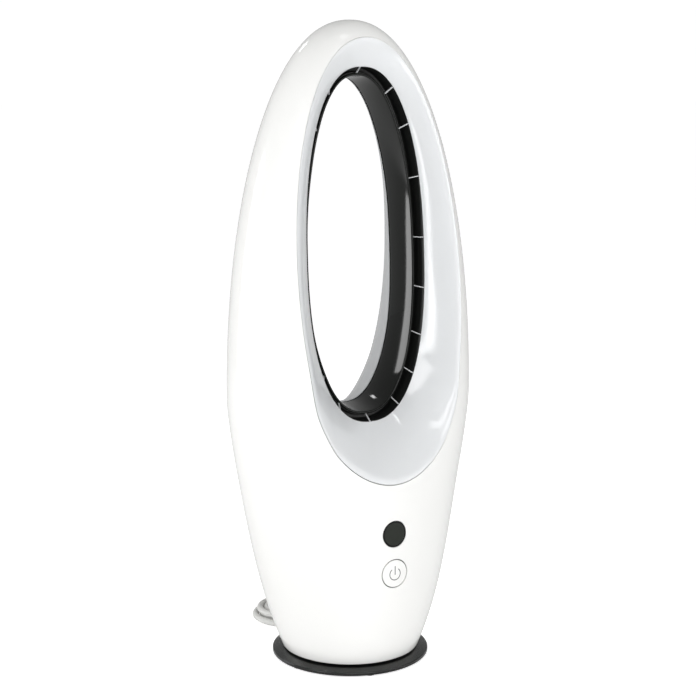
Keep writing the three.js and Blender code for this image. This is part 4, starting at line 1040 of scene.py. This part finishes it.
print("a disc has", BUTTON_STEPS, "steps round its edge")

# %% Masks by place
PANE_BORDER = (0.0105, 0.0109)  # where the border starts, and where it is full


def object_axes(tree):
    """A point's place on the piece, as three separate values."""
    place = add_node(tree, "ShaderNodeTexCoord").outputs["Object"]
    return add_node(tree, "ShaderNodeSeparateXYZ", Vector=place).outputs


def far_from_middle(tree, first, second):
    """How far a point lies from a middle, by its two distances across."""
    flat = add_node(tree, "ShaderNodeCombineXYZ", X=first, Y=second).outputs[0]
    return add_node(tree, "ShaderNodeVectorMath", {"operation": "LENGTH"}, _0=flat).outputs["Value"]


def ramp(tree, value, start, end):
    """A mask that is 0 up to the start and 1 from the end."""
    return add_node(tree, "ShaderNodeMapRange", Value=value, From_Min=start, From_Max=end).outputs["Result"]


def mixed_colour(tree, mask, first, second):
    return add_node(tree, "ShaderNodeMix", {"data_type": "RGBA"}, Factor=mask, _6=first, _7=second).outputs[2]


pane_black, shader = new_finish("window_black", Roughness=0.05, Specular_IOR_Level=0.25)
pane_tree = pane_black.node_tree
pane_axes = object_axes(pane_tree)
above_middle = math_node(pane_tree, "SUBTRACT", pane_axes["Z"], DISPLAY_HEIGHT)
border = ramp(pane_tree, far_from_middle(pane_tree, pane_axes["X"], above_middle), *PANE_BORDER)
pane_tree.links.new(mixed_colour(pane_tree, border, (0.016, 0.019, 0.015, 1), (0.0005, 0.0005, 0.0005, 1)),
                    shader.inputs["Base Color"])
print("the border is", round((DISPLAY_HOLE - PANE_BORDER[1]) * 1000, 1), "mm wide")

# %% The pane
PANE_RADIUS = 0.0123
display_pane = crowned_disc("display_pane", DISPLAY_HEIGHT, PANE_RADIUS, 0.0004, 0.0022, 0.0002)
seat(smooth(display_pane), "tower", pane_black, "window_black", "display_window")

# %% [markdown]
# ## The power button
#
# The button follows the shell too. A fine groove runs round it, and the ledge seen through the groove is
# dark grey as painted shade. Its symbol, an open ring with a bar, is printed in thin grey lines. The print
# is modelled as a film a few hundredths of a millimetre thick.

# %% The button and the ledge behind its groove
BUTTON_RADIUS = 0.0128
LEDGE_SECTION = ((0.0144, 0.0032), (0.0144, 0.0017), (0.0139, 0.0013), (0.0126, 0.0013), (0.0122, 0.0017),
                 (0.0122, 0.0032))  # radius, depth behind the shell's face
print_and_shade_grey = moulding("print_and_shade_grey", (0.06, 0.06, 0.06), 0.4)
power_button = crowned_disc("power_button_cap", BUTTON_HEIGHT, BUTTON_RADIUS, 0.0005, 0.0035, 0.0)
seat(smooth(power_button), "power_button", shell_white, "shell_white", "power_button")

# The ledge takes the print's dark grey, as painted shade in the groove; the printed symbol uses the same
# grey.
ledge_loops = [circle_on_egg(radius, BUTTON_HEIGHT, back) for radius, back in LEDGE_SECTION]
button_ledge = drawn("button_ledge", ledge_loops, closed=True)
seat(smooth(button_ledge), "tower", print_and_shade_grey, "shell_white")

# %% The power symbol
SYMBOL_RADIUS = 0.0056
SYMBOL_LINE = 0.0008
SYMBOL_LIFT = 0.00004
BAR_START = -0.0010  # from the button's middle
BAR_LENGTH = 0.0082


def printed_line(name, path):
    """A thin flat film along a path of (x, z) points on the button's face."""
    sides = []
    for i, (x, z) in enumerate(path):
        x0, z0 = path[max(i - 1, 0)]
        x1, z1 = path[min(i + 1, len(path) - 1)]
        way = Vector((x1 - x0, z1 - z0)).normalized()
        half = Vector((-way.y, way.x)) * SYMBOL_LINE / 2
        ring = []
        for sign, lift in ((1, 0), (1, SYMBOL_LIFT), (-1, SYMBOL_LIFT), (-1, 0)):
            px, pz = x + sign * half.x, z + sign * half.y
            ring.append(Vector((px, front_at(px, pz) - lift, pz)))
        sides.append(ring)
    return drawn(name, sides, cap_start=True, cap_end=True)


GAP_ANGLE = math.radians(38)
arc = [(SYMBOL_RADIUS * math.sin(a), BUTTON_HEIGHT - 0.0003 + SYMBOL_RADIUS * math.cos(a))
       for a in [GAP_ANGLE + (2 * math.pi - 2 * GAP_ANGLE) * i / 48 for i in range(49)]]
bar = [(0, BUTTON_HEIGHT + BAR_START + BAR_LENGTH * i / 6) for i in range(7)]
power_symbol = printed_line("power_symbol", arc)
symbol_bar = printed_line("symbol_bar", bar)
only(power_symbol)
symbol_bar.select_set(True)
bpy.ops.object.join()
seat(power_symbol, "power_button", print_and_shade_grey, "moulded_black")

# %% [markdown]
# ## The base
#
# The fan stands on a round plate that is wider than its foot. The plate's top slopes gently up to a flat
# middle, and the tower turns just above it. A turned piece like this is a profile spun about an axis, so
# it is drawn as rings of growing and shrinking radius, with small roundings at its edges. A low hump at
# the back takes the cord in.

# %% The base plate
BASE_STEPS = 144
EDGE_ROUND = 0.0011


def turned_rings(profile, count=BASE_STEPS):
    return [circle_ring(radius, z, count) for radius, z in profile]


def rounding(middle_radius, middle_height, radius, start, end, steps=5):
    """Points of an arc in a turned profile, by angles in degrees from straight out."""
    angles = [math.radians(start + (end - start) * i / steps) for i in range(steps + 1)]
    return [(middle_radius + radius * math.cos(a), middle_height + radius * math.sin(a)) for a in angles]


plate_profile = [
    (0.0606, 0.0062), (0.0603, 0.0016), (0.0607, 0.0012),
    *rounding(BASE_RADIUS - 0.0006, 0.0018, 0.0006, -90, 0, 3),
    *rounding(BASE_RADIUS - EDGE_ROUND, 0.0036, EDGE_ROUND, 0, 76),
    (0.0605, 0.00842), (0.0590, 0.0085), (0.0150, 0.0085), (0.0142, 0.0088), (0.0140, 0.0096),
    (0.0140, 0.0203), (0.0082, 0.0203), (0.0080, 0.0062),
]
base_plate = drawn("base_plate", turned_rings(plate_profile), closed=True)
print("the plate has", len(base_plate.data.polygons), "faces")

# %% [markdown]
# The hump is a rounded block, turned to the cord's way and joined to the plate by a union. It starts just
# outside the tower's foot, which turns past it.

# %% The hump
HUMP_TOP = 0.0096
HUMP_BOTTOM = 0.0012
HUMP_HALF_WIDTH = 0.0085
HUMP_CORNER = 0.0025
HUMP_START = half_width(HUMP_TOP) + 0.0006
HUMP_END = 0.0790
hump = rounded_block("hump_tool", -HUMP_HALF_WIDTH, HUMP_HALF_WIDTH, HUMP_BOTTOM, HUMP_TOP, HUMP_CORNER,
                     -HUMP_END, -HUMP_START)
only(hump)
bpy.ops.transform.rotate(value=-EXIT_ANGLE, orient_axis="Z", center_override=(0, 0, 0))
settle(hump)
trim(base_plate, hump, "UNION")
soften_where(base_plate, lambda point: point.length > 0.062 and point.xy.dot(exit_way.xy) > 0.060
             and abs(point.xy.dot(Vector((-exit_way.y, exit_way.x)))) < 0.012 and point.z > 0.006, 0.0004, 2)
print("the hump starts", round(HUMP_START, 4), "from the axis")

# %% [markdown]
# The plate's sloping face has a satin sheen. Further in, by the tower's foot, and low down on its side
# wall, the finish mixes in a plain black as painted shade, by how far a point lies from the axis and how
# high.

# %% The plate's finish
# Painted shade: inside these radii, by the tower's foot, and below these heights, on the side wall, the
# finish turns plain black.
FACE_STARTS = (0.0668, 0.0680)  # from the axis
FACE_BOTTOM = (0.0030, 0.0042)
plate_grey = moulding("plate_grey", (0.012, 0.013, 0.012), 0.26, 0.06, 0.08, 2600.0, 0.00003,
                      Specular_IOR_Level=0.4)
plate_tree = plate_grey.node_tree
plate_axes = object_axes(plate_tree)
sloping = ramp(plate_tree, far_from_middle(plate_tree, plate_axes["X"], plate_axes["Y"]), *FACE_STARTS)
raised = ramp(plate_tree, plate_axes["Z"], *FACE_BOTTOM)
unshaded_face = math_node(plate_tree, "MULTIPLY", sloping, raised)
plate_shader = plate_tree.nodes["Principled BSDF"]
plate_colour = plate_shader.inputs["Base Color"].links[0].from_socket
# The plain black mixed in here is painted shade.
plate_tree.links.new(mixed_colour(plate_tree, unshaded_face, (0.002, 0.002, 0.002, 1), plate_colour),
                     plate_shader.inputs["Base Color"])
seat(smooth(base_plate), "base", plate_grey, "base_grey", "base_disc")

# %% [markdown]
# The plate stands on six soft feet. One is modelled, with rounded edges, and copied with its own mesh.

# %% Six rubber feet
FOOT_RADIUS = 0.0055
FOOT_CIRCLE = 0.068
FOOT_ANGLE = math.radians(-15)
FOOT_HEIGHT = 0.0015
deselect()
bpy.ops.mesh.primitive_cylinder_add(vertices=48, radius=FOOT_RADIUS, depth=FOOT_HEIGHT,
                                    location=(0, 0, FOOT_HEIGHT / 2))
first_foot = bpy.context.object
soften(first_foot, 0.0005, 4)
for i in range(6):
    turn = FOOT_ANGLE + math.radians(60) * i
    foot = first_foot.copy()
    foot.data = first_foot.data.copy()
    bpy.context.collection.objects.link(foot)
    foot.location = (FOOT_CIRCLE * math.sin(turn), -FOOT_CIRCLE * math.cos(turn), FOOT_HEIGHT / 2)
    foot.name = foot.data.name = f"rubber_foot_{i + 1}"
    seat(smooth(settle(foot)), "base", rubber_black, "rubber_black", f"foot_{i + 1}")
bpy.data.objects.remove(first_foot)

# %% [markdown]
# ## The mains cord
#
# The cord is a round section swept along the route from the start of this file. It is one open spline
# from the strain relief to the plug, with its whole length in it.

# %% The cord as one curve
deselect()
cord_curve = bpy.data.curves.new("mains_cord_curve", "CURVE")
cord_curve.dimensions = "3D"
cord_curve.bevel_depth = CORD_DIAMETER / 2
cord_curve.bevel_resolution = 6
cord_curve.resolution_u = 5
cord_curve.use_fill_caps = True
cord_line = cord_curve.splines.new("BEZIER")
cord_line.bezier_points.add(len(cord_path) - 1)
for point, place in zip(cord_line.bezier_points, cord_path):
    point.co = place
    point.handle_left_type = point.handle_right_type = "AUTO"
cord = bpy.data.objects.new("mains_cord_skin", cord_curve)
bpy.context.collection.objects.link(cord)
cord_curve.materials.append(cord_white)
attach(cord, "base")
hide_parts("mains_cord", "cord_hank", "cord_end")

# %% [markdown]
# The strain relief is a soft tapered sleeve with grooves that let it bend. It is a turned piece, drawn
# about the way that the cord leaves.

# %% The strain relief
RELIEF_STEPS = 48
RELIEF_ROOT = 0.005
RELIEF_TIP = 0.004
RELIEF_GROOVES = 5


def along_line(start, way, profile, count):
    """Rings of (radius, distance) about a level line."""
    across = Vector((-way.y, way.x, 0))
    rings = []
    for radius, distance in profile:
        ring = []
        for i in range(count):
            a = 2 * math.pi * i / count
            ring.append(start + way * distance + across * radius * math.cos(a)
                        + Vector((0, 0, radius * math.sin(a))))
        rings.append(ring)
    return rings


relief_profile = [(1e-7, -0.013), (0.0032, -0.013), (0.0032, -0.0002), (RELIEF_ROOT - 0.0004, 0),
                  (RELIEF_ROOT, 0.0004)]
for i in range(RELIEF_GROOVES):
    at = 0.004 + 0.0032 * i
    radius = RELIEF_ROOT + (RELIEF_TIP - RELIEF_ROOT) * at / RELIEF_LENGTH
    relief_profile += [(radius, at), (radius - 0.0002, at + 0.0002), (radius - 0.0008, at + 0.0003),
                       (radius - 0.0008, at + 0.0011), (radius - 0.0002, at + 0.0012),
                       (radius - 0.00005, at + 0.0014)]
relief_profile += [(RELIEF_TIP, RELIEF_LENGTH - 0.0006), (RELIEF_TIP - 0.0002, RELIEF_LENGTH - 0.0002),
                   (RELIEF_TIP - 0.0006, RELIEF_LENGTH), (1e-7, RELIEF_LENGTH)]
relief_start = exit_way * RELIEF_START + Vector((0, 0, EXIT_HEIGHT))
relief = drawn("relief_sleeve", along_line(relief_start, exit_way, relief_profile, RELIEF_STEPS))
seat(smooth(relief), "base", cord_white, "cord_white", "strain_relief")

# %% [markdown]
# A soft band ties the hank at its waist. It is an oblong tube, long enough to go round all the runs.

# %% The tie
TIE_WIDTH = 0.009
TIE_WALL = 0.0009
TIE_GROUND = 0.00005  # how far the tie stays off the floor


def hank_reach(turns):
    """How far the outermost run lies from the hank's middle line, at its waist."""
    spreads = [HANK_FOLD + HANK_PITCH * abs(turn - HANK_REVERSE) for turn in turns if turn <= HANK_TURNS]
    return max(spreads) - HANK_WAIST + CORD_DIAMETER / 2 + 0.0006


tie_near = hank_reach([i + 0.875 for i in range(5)])
tie_far = hank_reach([i + 0.375 for i in range(5)])
tie_top = CORD_AXIS + TIE_LIFT + LAYER_HEIGHT + CORD_DIAMETER / 2 + SEAT_GAP + TIE_WALL
tie_middle = HANK_START + hank_along * (HANK_RUN / 2)


def tie_loop(margin, along):
    """An oblong loop round the runs."""
    outline = oblong(-tie_far - margin, tie_near + margin, TIE_GROUND + TIE_WALL - margin,
                     tie_top - TIE_WALL + margin, CORD_DIAMETER / 2 + margin, 8)
    return [Vector((*(tie_middle + hank_near * near + hank_along * along), z)) for near, z in outline]


half_tie = TIE_WIDTH / 2
TIE_EDGE = ((0, 0.0003), (0.6 * TIE_WALL, 0), (TIE_WALL, 0.0004))  # margin, how far in from the tie's end
tie_loops = [tie_loop(margin, inward - half_tie) for margin, inward in TIE_EDGE]
tie_loops += [tie_loop(margin, half_tie - inward) for margin, inward in reversed(TIE_EDGE)]
cord_band = drawn("cord_band", tie_loops, closed=True)
seat(smooth(cord_band), "base", moulded_black, "moulded_black", "cord_tie")

# %% [markdown]
# The plug is flat, narrow where the cord comes in and wide at its pins. It is an outline extruded to its
# thickness, with well rounded edges.

# %% The plug and its pins
PLUG_LENGTH = 0.035
PLUG_HALF = 0.0175
PLUG_THICKNESS = 0.0137
PIN_LENGTH = 0.019
PIN_RADIUS = 0.002
PIN_SPACING = 0.019
PIN_SLEEVE = 0.010
PIN_STEP = 0.00015  # the bare end is thinner than the sleeve by this
plug_start = at_height(hank_leave + end_way * (PLUG_TAIL + SEAT_GAP), PLUG_AXIS)
plug_across = Vector((-end_way.y, end_way.x, 0))

plug_edge = []
for i in range(17):  # from the cord's side out to the wide face
    _, out = bezier(((0, 0.005), (0, 0.005), (0, PLUG_HALF), (0, PLUG_HALF)), i / 16)
    plug_edge.append((0.0002 + 0.0218 * i / 16, out))
plug_edge += [(0.031, PLUG_HALF), (0.0325, 0.0172), (0.0340, 0.0160), (0.0348, 0.0145), (PLUG_LENGTH, 0.0125)]


def plug_ring(level, shrink):
    outline = [(x, out) for x, out in plug_edge] + [(x, -out) for x, out in reversed(plug_edge)]
    ring = []
    for x, out in outline:
        x = max(shrink, min(PLUG_LENGTH - shrink, x))
        out = math.copysign(max(0.0005, abs(out) - shrink), out)
        ring.append(plug_start + end_way * x + plug_across * out + Vector((0, 0, level)))
    return ring


PLUG_ROUND = 0.0026
plug_loops = []
for k in range(7):
    turn = math.pi / 2 * k / 6
    plug_loops.append(plug_ring(-PLUG_THICKNESS / 2 + PLUG_ROUND * (1 - math.sin(turn)),
                                PLUG_ROUND * (1 - math.cos(turn))))
plug_loops = plug_loops[::-1]
plug_loops += [[Vector((p.x, p.y, 2 * PLUG_AXIS - p.z)) for p in ring] for ring in reversed(plug_loops)]
plug_shell = drawn("plug_moulding", plug_loops, cap_start=True, cap_end=True)
seat(smooth(plug_shell, 50), "base", cord_white, "cord_white", "plug_body")
bare_radius = PIN_RADIUS - PIN_STEP
pin_profile = [(1e-7, 0), (PIN_RADIUS, 0), (PIN_RADIUS, PIN_SLEEVE), (bare_radius, PIN_SLEEVE + 0.0001),
               (bare_radius, PIN_LENGTH - PIN_RADIUS)]
for k in range(1, 7):
    turn = math.pi / 2 * k / 6
    pin_profile.append((max(1e-7, bare_radius * math.cos(turn)),
                        PIN_LENGTH - PIN_RADIUS + PIN_RADIUS * math.sin(turn)))
for number, sign in ((1, -1), (2, 1)):
    start = plug_start + end_way * (PLUG_LENGTH + SEAT_GAP) + plug_across * (sign * PIN_SPACING / 2)
    pin = drawn(f"pin_{number}", along_line(start, end_way, pin_profile, 24))
    seat(smooth(pin), "base", brass, "brass", f"plug_pin_{number}")

# %% [markdown]
# ## Floor, light and background
#
# The photograph has a pure white background and no shadow to speak of. A large pale floor and a white
# world give that. To the camera both are a little brighter than to the fan, or the fan would lose its
# shading. Tall soft lamps make the long highlights on the bezel: a glossy surface shows a lamp as a
# bright patch with the lamp's own shape. Where each lamp stands was worked out from the highlights, by
# following the camera's line of sight off the surface.

# %% The floor
FLOOR_SIZE = 40
FLOOR_GLOW = 0.55  # added for the camera only
FLOOR_SHINE = 0.12  # added for all
deselect()
bpy.ops.mesh.primitive_plane_add(size=FLOOR_SIZE, location=(0, 0, -0.0002))
floor = bpy.context.object
floor.name = "floor"
settle(floor)
floor_white, floor_shader = new_finish("floor_white", Roughness=0.9)
floor_shader.inputs["Base Color"].default_value = (0.85, 0.85, 0.85, 1)
floor_shader.inputs["Emission Color"].default_value = (1, 1, 1, 1)
floor_tree = floor_white.node_tree
to_camera = add_node(floor_tree, "ShaderNodeLightPath").outputs["Is Camera Ray"]
glow = math_node(floor_tree, "MULTIPLY", to_camera, FLOOR_GLOW)
floor_tree.links.new(math_node(floor_tree, "ADD", glow, FLOOR_SHINE),
                     floor_shader.inputs["Emission Strength"])
dress(floor, floor_white)

# %% [markdown]
# The narrow lamps on the left give the bright line on the duct, the tall ones in front give the bands on
# the bezel, and the small ones above give the short glints. The large ones fill what would be too dark.

# %% The lamps


def soft_lamp(name, place, aim, width, height, brightness):
    """A rectangular lamp that faces a point, by how bright its surface is."""
    deselect()
    bpy.ops.object.light_add(type="AREA", location=place)
    lamp = bpy.context.object
    lamp.name = name
    lamp.data.shape = "RECTANGLE"
    lamp.data.size, lamp.data.size_y = width, height
    lamp.data.energy = brightness * math.pi * width * height
    lamp.rotation_mode = "QUATERNION"
    lamp.rotation_quaternion = (Vector(aim) - Vector(place)).to_track_quat("-Z", "Y")
    return lamp


LAMPS = {  # place, aim, width, height, brightness
    "left_low_lamp": ((-1.080, -0.265, 0.09), (0, 0, 0.45), 0.30, 0.42, 5.5),
    "left_lamp": ((-1.074, -0.261, 0.46), (0, 0, 0.45), 0.12, 0.32, 9.0),
    "left_high_lamp": ((-1.020, -0.394, 0.86), (0, 0, 0.3), 0.20, 0.50, 5.5),
    "front_lamp": ((-0.04, -1.40, 0.52), (0.07, 0, 0.40), 0.40, 0.80, 4.5),
    "front_high_lamp": ((-0.62, -1.25, 0.93), (0.05, 0, 0.25), 0.24, 0.95, 4.2),
    "back_lamp": ((-1.34, 1.20, 0.50), (0, 0, 0.45), 0.36, 0.9, 8.5),
    "right_lamp": ((1.5, -1.9, 0.7), (0, 0, 0.3), 1.6, 1.6, 1.9),
    "top_lamp": ((0.06, -0.16, 1.9), (0, -0.03, 0.5), 0.16, 0.16, 5.0),
    "top_front_lamp": ((-0.31, -0.57, 1.9), (0, -0.03, 0.25), 0.12, 0.12, 8.0),
    "top_back_lamp": ((-0.20, 1.52, 1.5), (0, 0, 0.25), 0.16, 0.16, 12.0),
    "wide_lamp": ((-1.3, -2.4, 0.9), (0, 0, 0.3), 2.0, 2.0, 0.45),
}
for name, settings in LAMPS.items():
    soft_lamp(name, *settings)
print("lamps:", len(LAMPS))

# %% The world
WORLD_LIGHT = 0.41  # what the fan gets
WORLD_SEEN = 1.02  # what the camera sees
world = bpy.data.worlds.new("studio")
bpy.context.scene.world = world
world.use_nodes = True
backdrop = world.node_tree.nodes["Background"]
backdrop.inputs["Color"].default_value = (1, 1, 1, 1)
seen = add_node(world.node_tree, "ShaderNodeLightPath").outputs["Is Camera Ray"]
extra = math_node(world.node_tree, "MULTIPLY", seen, WORLD_SEEN - WORLD_LIGHT)
strength = math_node(world.node_tree, "ADD", extra, WORLD_LIGHT)
world.node_tree.links.new(strength, backdrop.inputs["Strength"])
bpy.context.scene.view_settings.view_transform = "Standard"
bpy.context.scene.view_settings.look = "None"
print("the fan's light from the world:", WORLD_LIGHT)

# %% [markdown]
# ## Finish

# %% Finish
print("scene built")
